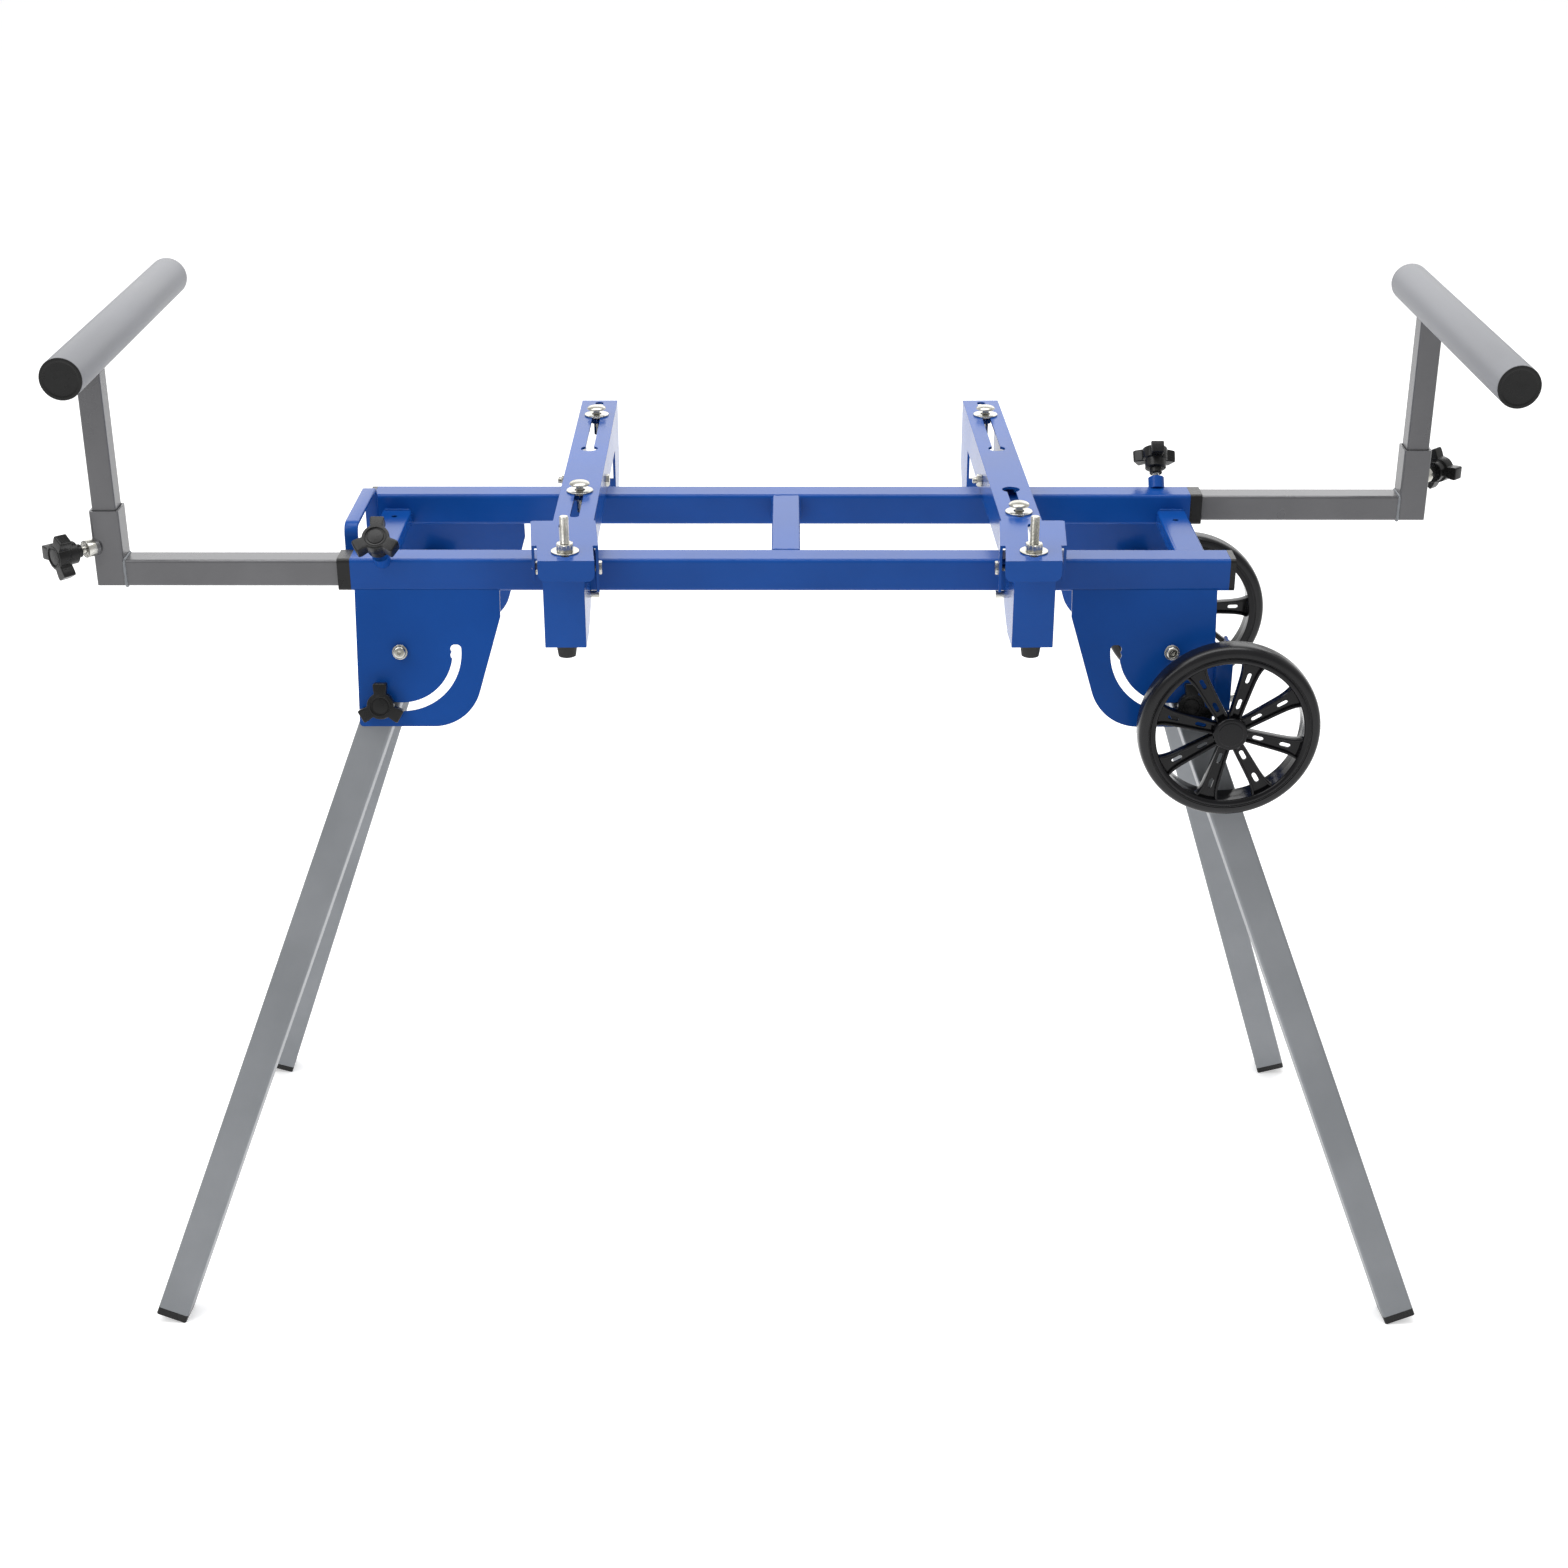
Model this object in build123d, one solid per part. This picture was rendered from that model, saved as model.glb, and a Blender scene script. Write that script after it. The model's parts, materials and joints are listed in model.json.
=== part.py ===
from build123d import *
import os
from math import cos, sin, tan, radians

# Sizes in millimetres, X right, Y away from the viewer, Z up, drawn about the middle between the two rails.
# The saved parts are moved so that the origin is on the floor under the middle of the whole stand.
rail_top = 896.5
rail_side = 36.5
rail_wall = 1.6
rail_corner = 4.0
rail_y = 115.25
rail_short_end = 478.0
rail_long_end = 487.0
collar_length = 14.0
collar_insert = 30.0
plug_length = 6.0
plug_insert = 12.0
rail_low = rail_top - rail_side
rail_mid = rail_top - rail_side / 2
rail_outer = rail_y + rail_side / 2
rail_inner = rail_y - rail_side / 2
slide_gap = 0.3
shaft_gap = 0.05
touch_gap = 0.3

arm_side = 30.0
arm_wall = 1.5
arm_corner = 3.0
arm_lift = 1.0
arm_inner_end = 25.5
arm_z = rail_mid + arm_lift
socket_x = 741.5
socket_side = 32.0
socket_wall = 2.4
socket_low = 865.5
socket_high = 950.3
post_show = 170.7
support_z = socket_high + post_show
socket_corner = 3.0
post_side = 26.0
post_wall = 1.5
post_corner = 2.5
post_low = 868.0
support_radius = 22.5
support_wall = 1.5
support_far = 248.0
support_near = 220.0
end_plug_depth = 9.0
end_plug_floor = 2.0
end_plug_wall = 2.0

centre_tube_side = 32.0
cross_wall = 1.6
cross_corner = 3.0
end_tube_high = 18.0
end_tube_left = (478.0, 443.0)
end_tube_right = (439.0, 473.0)
end_hole_radius = 3.5
end_hole_left_y = 73.0
end_hole_right_y = 61.0
handle_width = 15.0
handle_thick = 5.0
handle_rise = 20.0
handle_flat = 65.0
handle_foot = 72.0
handle_bend = 9.0

plate_tilt = 11.3
plate_thick = 3.0
plate_edge = 474.6
plate_top_in = 315.0
plate_step_drop = 28.7
plate_low_in = 351.3
plate_drop = 152.0
plate_big_round = 54.0
plate_small_round = 4.0
plate_weld_reach = 6.0
pivot_x = 426.5
pivot_drop = 67.5
pivot_radius = 5.0
pivot_head_radius = 6.9
pivot_head_round = 2.6
pivot_hex = 2.6
pivot_nut_flat = 16.0
lock_radius = 62.5
slot_width = 10.0
slot_bump = 2.2
front_tilt = 20.6
rear_left_tilt = 19.5
rear_right_tilt = 17.5
slot_turn = 113.2
catch_low_turn = 106.5
leg_width = 36.5
leg_wall = 1.6
leg_corner = 3.0
leg_top_reach = 17.0
foot_high = 9.0
foot_insert = 16.0

knob_arms = 3
knob_reach = 25.5
knob_core = 15.0
knob_arm_root = 13.0
knob_arm_tip = 16.4
knob_dish = 10.8
knob_dish_deep = 1.0
stud_radius = 4.0
leg_knob_high = 11.0
leg_knob_steps = ((8.5, 5.5),)
clamp_knob_high = 14.0
clamp_knob_turn = 90.0
leg_knob_turn = 69.4
clamp_knob_steps = ((7.5, 6.7), (12.5, 11.1))
boss_radius = 9.5
boss_show = 10.4
boss_bore = stud_radius + shaft_gap
clamp_show = 6.0
rail_clamp_tilt = 50.0
rail_clamp_x = 442.0
socket_clamp_z = 909.6
nut_flat = 13.0
nut_high = 6.5
small_bolt = 4.0
front_bolt_radius = 5.0
front_core = 4.2
front_flat = 17.0
front_nut_high = 8.0
washer_radius = 8.4
washer_high = 1.6
nut_tail = 4.8
low_head_high = 3.5

bracket_high = 41.0
sheet = 3.0
bar_width = 44.5
bar_far = 362.0
plate_width = 71.0
plate_start = 1.9
plate_skew = 5.45
plate_corner = 4.0
plate_near = 122.0
relief = 206.0
lip_inset = 5.8
lip_y = 255.0
lip_drop = 23.0
lip_round = 8.0
inner_drop = 52.0
outer_drop = 24.0
tab_far = 124.0
rest_gap = 0.3
bracket_z = rail_top + bracket_high
foot_z = 827.0
rear_leg_near = 278.0
rear_cut = 28.0
bar_slot_x = bar_width / 2
slot_half = 5.0
keyhole_radius = 10.0
far_hole_y = 150.0
far_slot_y = 350.0
near_hole_y = 10.0
near_slot_y = 105.0
front_slot_far = 133.0
front_slot_near = 243.0
left_place = -211.0
left_turn = 0.65
right_place = 232.4
right_turn = 1.2
far_bolt_y = 294.0
near_bolt_y_left = -17.0
near_bolt_y_right = -93.0
front_bolt_y = -225.0
dome_radius = 11.5
dome_high = 5.0
dome_round = 4.0
neck_side = 8.0
neck_high = 6.0
big_washer = 15.0
big_washer_high = 2.0
big_washer_bore = 5.8
bolt_down = 24.0
bolt_up = 39.0
front_head_high = 5.0

lever_in = 5.3
lever_width = 44.2
lever_front = 219.0
lever_top = 916.0
lever_pivot_y = 180.0
lever_pivot_z = 904.0
lever_pivot_edge = 12.0
lever_pin_y = 130.5
lever_pin_drop = 4.3
hook_reach = 74.4
lever_back = 137.0
lever_low_back = 172.0
lever_hook_in = 121.5
lever_hook_deep = 18.0
lever_tab = 30.0
rubber_high = 14.0
rubber_wide = 11.5
rubber_narrow = 9.5
lever_foot_y = 205.0
rear_foot_y = 300.0
ear_half = 12.0
ear_low = 893.0
catch_bolt_y = 92.0
catch_bolt_z = 916.5
catch_edge = 9.0
catch_behind = 146.0
catch_tip = 127.0
catch_low = 852.5
catch_gap = 1.6

wheel_radius = 100.0
wheel_x = 486.0
wheel_z = 724.0
wheel_y = 198.0
tyre_width = 30.0
tyre_deep = 13.0
rim_thick = 4.0
tyre_round = 9.0
hub_radius = 15.0
hub_back = 184.5
hub_front = 213.0
cap_radius = 19.0
cap_high = 4.5
axle_radius = 6.0
spoke_count = 8
spoke_first_front = 30.6
spoke_first_rear = -1.5
spoke_half = 7.0
spoke_rib = 3.0
spoke_back = 200.0
spoke_front = 211.0
spoke_web_back = 204.0
spoke_web_front = 207.0
window_shares = (0.28, 0.74)
window_length = 14.0
window_width = 5.0
mount_in = 474.6
mount_wide = 18.4
mount_out = mount_in + mount_wide
mount_front = 161.0
mount_back = 113.0
mount_high = 800.0
mount_low = 722.5
mount_lobe = 9.0
mount_bolt_y = 137.0
mount_bolt_high = 788.0
mount_bolt_low = 737.0
mount_bolt_tail = 14.0
mount_head_high = 4.5
axle_spacer = 9.0
axle_tip = 212.5
rear_wheel_out = 9.0
rear_wheel_drop = 8.5

plate_plane = Plane(
    origin=(0, -rail_outer, rail_low),
    x_dir=(1, 0, 0),
    z_dir=(0, -cos(radians(plate_tilt)), sin(radians(plate_tilt))),
)
pivot_place = plate_plane.from_local_coords((pivot_x, -pivot_drop, -plate_thick - touch_gap))


def leg_plane(lean):
    """Outer face of a leg that leans so many degrees: origin on the pivot, Y up along the leg."""
    turn = radians(lean)
    across = plate_plane.x_dir * cos(turn) + plate_plane.y_dir * sin(turn)
    return Plane(origin=pivot_place, x_dir=across, z_dir=plate_plane.z_dir)


def block(x0, x1, y0, y1, z0, z1):
    return Pos((x0 + x1) / 2, (y0 + y1) / 2, (z0 + z1) / 2) * Box(x1 - x0, y1 - y0, z1 - z0)


def rod(start, direction, length, radius):
    return Part(Solid.make_cylinder(radius, length, Plane(origin=start, z_dir=direction)).wrapped)


def square_tube(plane, width, depth, length, corner, wall):
    outer = extrude(plane * RectangleRounded(width, depth, corner), length)
    hollow = extrude(plane * RectangleRounded(width - 2 * wall, depth - 2 * wall, corner - wall), length)
    return outer - hollow


def hexagon(plane, flats, high, bore=0):
    outer = extrude(plane * RegularPolygon(flats / 2, 6, major_radius=False), high)
    return outer - extrude(plane * Circle(bore), high) if bore else outer


def profile_yz(points, x0, x1):
    """Solid from a side outline given as (y, z) points, between two X places."""
    face = make_face(Polyline(*[(0, y, z) for y, z in points], close=True))
    return Pos(x0, 0, 0) * extrude(face, x1 - x0, dir=(1, 0, 0))


def corner_copy(shape, side_x, side_y):
    """The shapes of one corner are drawn at the front right and mirrored to the others."""
    if side_x < 0:
        shape = mirror(shape, about=Plane.YZ)
    if side_y > 0:
        shape = mirror(shape, about=Plane.XZ)
    return shape


def half_turn(shape):
    return Rot(Z=180) * shape


def rail_plane(x):
    return Plane(origin=(x, -rail_y, rail_mid), x_dir=(0, 1, 0), z_dir=(1, 0, 0))


def rail_clamp_plane():
    """Through the outer top edge of the front rail, pointing up and out."""
    edge = arm_side / 2 * 2 ** 0.5 - arm_corner * (2 ** 0.5 - 1)
    reach = edge / 2 ** 0.5
    tilt = radians(rail_clamp_tilt)
    return Plane(origin=(-rail_clamp_x, -rail_y - reach, arm_z + reach), x_dir=(1, 0, 0),
                 z_dir=(0, -cos(tilt), sin(tilt)))


def socket_clamp_plane():
    edge = post_side / 2 * 2 ** 0.5 - post_corner * (2 ** 0.5 - 1)
    reach = edge / 2 ** 0.5
    corner = (-socket_x - reach, -rail_y - reach, socket_clamp_z)
    return Plane(origin=corner, x_dir=(0, 0, 1), z_dir=(-1, -1, 0))


def clamp_start(outer_corner, outer_round, inner_side, inner_round):
    """How far out of the clamped tube's corner the outer tube's corner lies."""
    outer = outer_corner / 2 * 2 ** 0.5 - outer_round * (2 ** 0.5 - 1)
    inner = inner_side / 2 * 2 ** 0.5 - inner_round * (2 ** 0.5 - 1)
    return outer - inner


rail_boss_start = clamp_start(rail_side, rail_corner, arm_side, arm_corner)
socket_boss_start = clamp_start(socket_side, socket_corner, post_side, post_corner)


def front_rail():
    length = rail_short_end + rail_long_end
    tube = square_tube(rail_plane(-rail_short_end), rail_side, rail_side, length, rail_corner, rail_wall)
    plane = rail_clamp_plane()
    return tube - extrude(plane * Circle(boss_bore), boss_show)


def rail_bar(start, side, corner, length):
    return extrude(rail_plane(start) * RectangleRounded(side, side, corner), length)


def collar():
    """Guide ring at the open end of the rail, with a three-sided lining inside the tube."""
    start = -rail_short_end - collar_length
    end = -rail_short_end + collar_insert
    ring = rail_bar(start, rail_side, rail_corner, collar_length)
    lining = rail_bar(-rail_short_end, rail_side - 2 * rail_wall, rail_corner - rail_wall, collar_insert)
    reach = arm_side / 2 + slide_gap
    way = block(start, end, -rail_y - reach, -rail_y + reach, arm_z - reach, arm_z + reach)
    above = block(-rail_short_end, end, -rail_outer, -rail_inner, arm_z, rail_top)
    return (ring - way) + (lining - way - above)


def rail_plug():
    head = rail_bar(rail_long_end, rail_side, rail_corner, plug_length)
    inside = rail_side - 2 * rail_wall
    return head + rail_bar(rail_long_end - plug_insert, inside, rail_corner - rail_wall, plug_insert)


def boss(plane, start, outer_side, outer_round, axis_point):
    """Round nut welded on a tube's corner and cut to sit over it."""
    body = extrude(plane * Circle(boss_radius), start + boss_show)
    body = body - extrude(plane * Circle(boss_bore), start + boss_show)
    outer = RectangleRounded(outer_side, outer_side, outer_round)
    return body - extrude(axis_point * outer, outer_side, both=True)


def rail_boss():
    return boss(rail_clamp_plane(), rail_boss_start, rail_side, rail_corner, rail_plane(-rail_clamp_x))


def socket_boss():
    column = Plane(origin=(-socket_x, -rail_y, socket_clamp_z))
    return boss(socket_clamp_plane(), socket_boss_start, socket_side, socket_corner, column)


def knob_head(plane, steps, high, first):
    """Three-armed hand knob: its stepped neck stands on the plane, the arms widen outwards."""
    body = None
    for radius, length in steps:
        ring = extrude(plane * Circle(radius), length)
        body = ring if body is None else body + ring
        plane = plane.offset(length)
    head = extrude(plane * Circle(knob_core), high)
    arm = Polyline((0, -knob_arm_root / 2), (knob_reach, -knob_arm_tip / 2), (knob_reach, knob_arm_tip / 2),
                   (0, knob_arm_root / 2), close=True)
    for step in range(knob_arms):
        head += extrude(plane * (Rot(Z=first + step * 360 / knob_arms) * make_face(arm)), high)
    dish = extrude(plane.offset(high - knob_dish_deep) * Circle(knob_dish), knob_dish_deep)
    return head - dish + body


def knob(plane, steps, high, inside, show, first):
    """Knob and its stud, which goes into the tube and shows a little under the knob."""
    neck = sum(length for _, length in steps)
    stud = extrude(plane.offset(-inside) * Circle(stud_radius), inside + show + neck + high / 2)
    return Compound([knob_head(plane.offset(show), steps, high, first) - stud, stud])


def clamp_knob(plane, start):
    outside = start + boss_show
    return knob(plane.offset(outside), clamp_knob_steps, clamp_knob_high, outside - touch_gap, clamp_show,
                clamp_knob_turn)


def rail_knob():
    return clamp_knob(rail_clamp_plane(), rail_boss_start)


def socket_knob():
    return clamp_knob(socket_clamp_plane(), socket_boss_start)


def leg_knob(lean):
    plane = leg_plane(lean).offset(plate_thick + touch_gap * 2)
    centre = plane.from_local_coords((0, -lock_radius, 0))
    plane = Plane(origin=centre, x_dir=plane.x_dir, z_dir=plane.z_dir)
    return knob(plane, leg_knob_steps, leg_knob_high, leg_width / 2 + plate_thick, 0, leg_knob_turn)


def arm():
    length = socket_x - socket_side / 2 - arm_inner_end
    plane = Plane(origin=(-socket_x + socket_side / 2, -rail_y, arm_z), x_dir=(0, 1, 0), z_dir=(1, 0, 0))
    return square_tube(plane, arm_side, arm_side, length, arm_corner, arm_wall)


def socket():
    plane = Plane(origin=(-socket_x, -rail_y, socket_low))
    height = socket_high - socket_low
    tube = square_tube(plane, socket_side, socket_side, height, socket_corner, socket_wall)
    return tube - extrude(socket_clamp_plane() * Circle(boss_bore), boss_show)


def post():
    plane = Plane(origin=(-socket_x, -rail_y, post_low))
    tube = square_tube(plane, post_side, post_side, support_z - post_low, post_corner, post_wall)
    start = (-socket_x, -support_near, support_z)
    return tube - rod(start, (0, 1, 0), support_near + support_far, support_radius)


def support_tube():
    length = support_near + support_far
    start = (-socket_x, -support_near, support_z)
    bore = rod(start, (0, 1, 0), length, support_radius - support_wall)
    return rod(start, (0, 1, 0), length, support_radius) - bore


def support_plugs():
    """A cup pressed into each end of the round tube."""
    radius = support_radius - support_wall
    near = rod((-socket_x, -support_near, support_z), (0, 1, 0), end_plug_depth, radius)
    near -= rod((-socket_x, -support_near, support_z), (0, 1, 0), end_plug_depth - end_plug_floor,
                radius - end_plug_wall)
    far = rod((-socket_x, support_far, support_z), (0, -1, 0), end_plug_depth, radius)
    far -= rod((-socket_x, support_far, support_z), (0, -1, 0), end_plug_depth - end_plug_floor,
               radius - end_plug_wall)
    return Compound([near, far])


def cross_tube(x0, x1, z0, z1):
    plane = Plane(origin=((x0 + x1) / 2, -rail_inner, (z0 + z1) / 2), x_dir=(1, 0, 0), z_dir=(0, 1, 0))
    return square_tube(plane, x1 - x0, z1 - z0, 2 * rail_inner, cross_corner, cross_wall)


def centre_tube():
    return cross_tube(-centre_tube_side / 2, centre_tube_side / 2, rail_top - centre_tube_side, rail_top)


def end_tube(x0, x1, hole_y):
    tube = cross_tube(x0, x1, rail_low, rail_low + end_tube_high)
    start = ((x0 + x1) / 2, hole_y, rail_low + end_tube_high / 2)
    return tube - rod(start, (0, 0, 1), end_tube_high, end_hole_radius)


def carry_handle():
    """Flat bar bent to a low bridge, its feet welded to the outside of the end tube."""
    top = rail_top + handle_rise
    outline = Polyline((0, -handle_foot, rail_low), (0, -handle_foot, top - handle_bend),
                       (0, -handle_flat, top), (0, handle_flat, top),
                       (0, handle_foot, top - handle_bend), (0, handle_foot, rail_low),
                       (0, handle_foot - handle_thick, rail_low),
                       (0, handle_foot - handle_thick, top - handle_bend - handle_thick / 2),
                       (0, handle_flat - handle_thick / 2, top - handle_thick),
                       (0, -handle_flat + handle_thick / 2, top - handle_thick),
                       (0, -handle_foot + handle_thick, top - handle_bend - handle_thick / 2),
                       (0, -handle_foot + handle_thick, rail_low), close=True)
    outer_x = end_tube_left[0]
    return Pos(-outer_x - handle_width, 0, 0) * extrude(make_face(outline), handle_width, dir=(1, 0, 0))


def on_circle(turn, radius):
    """Place around the leg's pivot in the plate's plane; turn 0 is straight down and grows inwards."""
    return (pivot_x - radius * sin(radians(turn)), -pivot_drop - radius * cos(radians(turn)))


def slot_sketch(lean):
    """The slot begins where the stud of the standing leg is, so each leg stands at its slot's end."""
    first = -lean
    last = slot_turn - front_tilt
    middle = (first + last) / 2
    path = ThreePointArc(*[on_circle(turn, lock_radius) for turn in (first, middle, last)])
    sketch = SlotArc(path, slot_width)
    for turn in (catch_low_turn - front_tilt, last):
        sketch += Pos(*on_circle(turn, lock_radius - slot_bump)) * Circle(stud_radius + slot_bump / 2)
    return sketch


def leg_plate(edge, lean):
    """Side plate of one corner, with the curved lock slot, cut to the rail's lower corner."""
    outline = Polyline((edge, plate_weld_reach), (edge, -plate_drop), (plate_low_in, -plate_drop),
                       (plate_top_in, -plate_step_drop), (plate_top_in, plate_weld_reach), close=True)
    face = make_face(outline)
    low = face.vertices().sort_by(Axis.Y)[:2].sort_by(Axis.X)
    face = fillet(low[0], plate_big_round)
    low = face.vertices().sort_by(Axis.Y)[:2].sort_by(Axis.X)
    face = fillet(low[-1], plate_small_round)
    face -= slot_sketch(lean)
    face -= Pos(pivot_x, -pivot_drop) * Circle(pivot_radius)
    plate = extrude(plate_plane * face, -plate_thick)
    rail = extrude(rail_plane(0) * RectangleRounded(rail_side, rail_side, rail_corner), rail_long_end)
    return (plate - rail) - block(0, rail_long_end, -rail_outer, 0, rail_mid, rail_top)


def leg_length(lean):
    """From the pivot to the sole, measured along the leg's middle on its front face."""
    slope = cos(radians(plate_tilt))
    front = (rail_low - (plate_thick + touch_gap) * sin(radians(plate_tilt))) / slope - pivot_drop
    return (front - leg_width / 2 * sin(radians(lean))) / cos(radians(lean))


def under_foot(lean, high):
    """All of a leg's end below the level plane that lies so high above the sole."""
    rise = tan(radians(plate_tilt)) / cos(radians(lean))
    side = leg_width
    inner = -high - side * rise
    outline = make_face(Polyline((0, -high), (side, inner), (side, side), (0, side), close=True))
    face = leg_plane(lean)
    sole = face.from_local_coords((-leg_width, -leg_length(lean), 0))
    plane = Plane(origin=sole, x_dir=-face.z_dir, z_dir=-face.x_dir)
    return extrude(plane * outline, leg_width * 2, both=True)


def leg(lean):
    """Square tube from above the pivot to the foot cap, with its end cut level."""
    face = leg_plane(lean)
    start = face.from_local_coords((0, leg_top_reach, -leg_width / 2))
    plane = Plane(origin=start, x_dir=face.x_dir, z_dir=-face.y_dir)
    tube = square_tube(plane, leg_width, leg_width, leg_top_reach + leg_length(lean), leg_corner, leg_wall)
    tube -= extrude(face * Circle(pivot_radius + shaft_gap), -leg_width)
    tube -= extrude(face * (Pos(0, -lock_radius) * Circle(stud_radius + shaft_gap)), -leg_width / 2)
    return tube - under_foot(lean, foot_high)


def foot_cap(lean):
    """Plug in the leg's end; its rim and its sole are level."""
    face = leg_plane(lean)
    sole = face.from_local_coords((0, -leg_length(lean), -leg_width / 2))
    plane = Plane(origin=sole, x_dir=face.x_dir, z_dir=face.y_dir)
    rim = extrude(plane * RectangleRounded(leg_width, leg_width, leg_corner), leg_width)
    inside = leg_width - 2 * leg_wall
    plug_round = leg_corner - leg_wall
    plug = extrude(plane * RectangleRounded(inside, inside, plug_round), foot_high + foot_insert)
    return (rim & under_foot(lean, foot_high)) + plug - under_foot(lean, 0)


def pivot_bolt():
    """Socket button-head bolt and washer outside the plate, lock nut inside the leg."""
    outside = leg_plane(0).offset(plate_thick + touch_gap)
    shank = extrude(leg_plane(0).offset(-leg_width - nut_high - washer_high) * Circle(pivot_radius),
                    leg_width + nut_high + washer_high + plate_thick + touch_gap)
    washer = extrude(outside * Circle(washer_radius), washer_high)
    head = extrude(outside.offset(washer_high) * Circle(pivot_head_radius), pivot_radius)
    top = head.faces().sort_by(Axis(outside.origin, outside.z_dir))[-1]
    head = fillet(top.edges(), pivot_head_round)
    bottom = outside.offset(washer_high + pivot_radius / 2)
    socket_hole = extrude(bottom * RegularPolygon(pivot_hex, 6), pivot_radius)
    return washer + (head - socket_hole) + shank


def pivot_nut():
    inside = leg_plane(0).offset(-leg_width - touch_gap)
    washer = extrude(inside * Circle(washer_radius), -washer_high + touch_gap)
    washer -= extrude(inside * Circle(pivot_radius), -washer_high)
    nut_face = RegularPolygon(pivot_nut_flat / 2, 6, major_radius=False)
    nut = extrude(inside.offset(-washer_high + touch_gap) * nut_face, -nut_high)
    return washer + (nut - extrude(inside * Circle(pivot_radius), -nut_high * 2))


def tyre():
    """Ring of soft rubber with a round tread and a flat seat on the rim."""
    half = tyre_width / 2
    outer = wheel_radius
    seat = wheel_radius - tyre_deep
    section = make_face(Polyline((seat, -half), (outer, -half), (outer, half), (seat, half), close=True))
    section = fillet(section.vertices().sort_by(Axis.X)[-2:], tyre_round)
    return wheel_turn(section)


def wheel_turn(section):
    """Turn a section given as (radius, place along the axle from the wheel's middle, outwards)."""
    axis_plane = Plane(origin=(wheel_x, -wheel_y, wheel_z), x_dir=(1, 0, 0), z_dir=(0, 0, 1))
    placed = axis_plane * mirror(section, about=Plane.XZ)
    return revolve(placed, Axis((wheel_x, -wheel_y, wheel_z), (0, 1, 0)), 360)


def wheel_rim(first):
    """Rim band, spokes of two ribs with a web between them, and the hub."""
    half = tyre_width / 2
    seat = wheel_radius - tyre_deep
    band = wheel_turn(make_face(Polyline((seat - rim_thick, -half), (seat, -half), (seat, half),
                                         (seat - rim_thick, half), close=True)))
    hub = rod((wheel_x, -hub_back, wheel_z), (0, -1, 0), hub_front - hub_back, hub_radius)
    face_plane = Plane(origin=(wheel_x, -spoke_back, wheel_z), x_dir=(1, 0, 0), z_dir=(0, -1, 0))
    web_plane = Plane(origin=(wheel_x, -spoke_web_back, wheel_z), x_dir=(1, 0, 0), z_dir=(0, -1, 0))
    reach = seat - rim_thick / 2
    wheel = band + hub
    for step in range(spoke_count):
        turn = Rot(Z=first + step * 360 / spoke_count)
        web = Pos(reach / 2, 0) * Rectangle(reach, 2 * spoke_half)
        for share in window_shares:
            place = hub_radius + (reach - hub_radius) * share
            web -= Pos(place, 0) * SlotOverall(window_length, window_width)
        wheel += extrude(web_plane * (turn * web), spoke_web_front - spoke_web_back)
        for side in (-1, 1):
            rib = Pos(reach / 2, side * (spoke_half - spoke_rib / 2)) * Rectangle(reach, spoke_rib)
            wheel += extrude(face_plane * (turn * rib), spoke_front - spoke_back)
    return wheel - rod((wheel_x, 0, wheel_z), (0, -1, 0), hub_front, axle_radius + shaft_gap)


def hub_cap():
    cap = rod((wheel_x, -hub_front, wheel_z), (0, -1, 0), cap_high, cap_radius)
    return fillet(cap.edges().sort_by(Axis.Y)[0], cap_high / 2)


def wheel_mount():
    """Channel on the plate's edge that holds the axle and is closed by two bolts."""
    inner = block(mount_in, mount_in + sheet, -mount_front, -mount_back, mount_low, mount_high)
    outer = block(mount_out - sheet, mount_out, -mount_front, -mount_back, mount_low, mount_high)
    web = block(mount_in, mount_out, -mount_front, -mount_front + sheet, mount_low, mount_high)
    lobe = rod((wheel_x, -mount_front, wheel_z), (0, 1, 0), sheet, mount_lobe)
    below = block(0, mount_in + sheet, -rail_outer * 2, 0, 0, mount_low)
    body = inner + outer + web + (lobe - below)
    for z in (mount_bolt_high, mount_bolt_low):
        body -= rod((mount_in, -mount_bolt_y, z), (1, 0, 0), mount_out - mount_in, small_bolt)
    body -= rod((wheel_x, -mount_back, wheel_z), (0, -1, 0), mount_front - mount_back, axle_radius)
    plate_cut = block(0, plate_edge, -mount_front * 2, 0, 0, rail_low)
    return body - plate_cut


def wheel_axle():
    axle = rod((wheel_x, -mount_back, wheel_z), (0, -1, 0), axle_tip - mount_back, axle_radius)
    spacer = hub_back - touch_gap - mount_front
    return axle + rod((wheel_x, -mount_front, wheel_z), (0, -1, 0), spacer, axle_spacer)


def mount_bolts():
    bolts = []
    for z in (mount_bolt_high, mount_bolt_low):
        start = (mount_in - mount_head_high, -mount_bolt_y, z)
        length = mount_out - mount_in + mount_bolt_tail
        bolt = rod((mount_in, -mount_bolt_y, z), (1, 0, 0), length, small_bolt)
        bolt += hexagon(Plane(origin=start, z_dir=(1, 0, 0)), nut_flat, mount_head_high)
        outside = Plane(origin=(mount_out, -mount_bolt_y, z), z_dir=(1, 0, 0))
        nut = hexagon(outside, nut_flat, nut_high, small_bolt)
        bolts += [bolt, nut]
    return bolts


# The saw brackets are drawn for the right side, x 0 at the inner edge, and mirrored for the left one.
def place_bracket(shape, side):
    if side < 0:
        return Pos(left_place, 0, 0) * Rot(Z=left_turn) * mirror(shape, about=Plane.YZ)
    return Pos(right_place, 0, 0) * Rot(Z=right_turn) * shape


def keyhole(x, hole_y, slot_y):
    low = min(hole_y, slot_y)
    high = max(hole_y, slot_y)
    slot = Pos(x, (low + high) / 2) * Rot(Z=90) * SlotCenterToCenter(high - low, 2 * slot_half)
    return slot + Pos(x, hole_y) * Circle(keyhole_radius)


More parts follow.
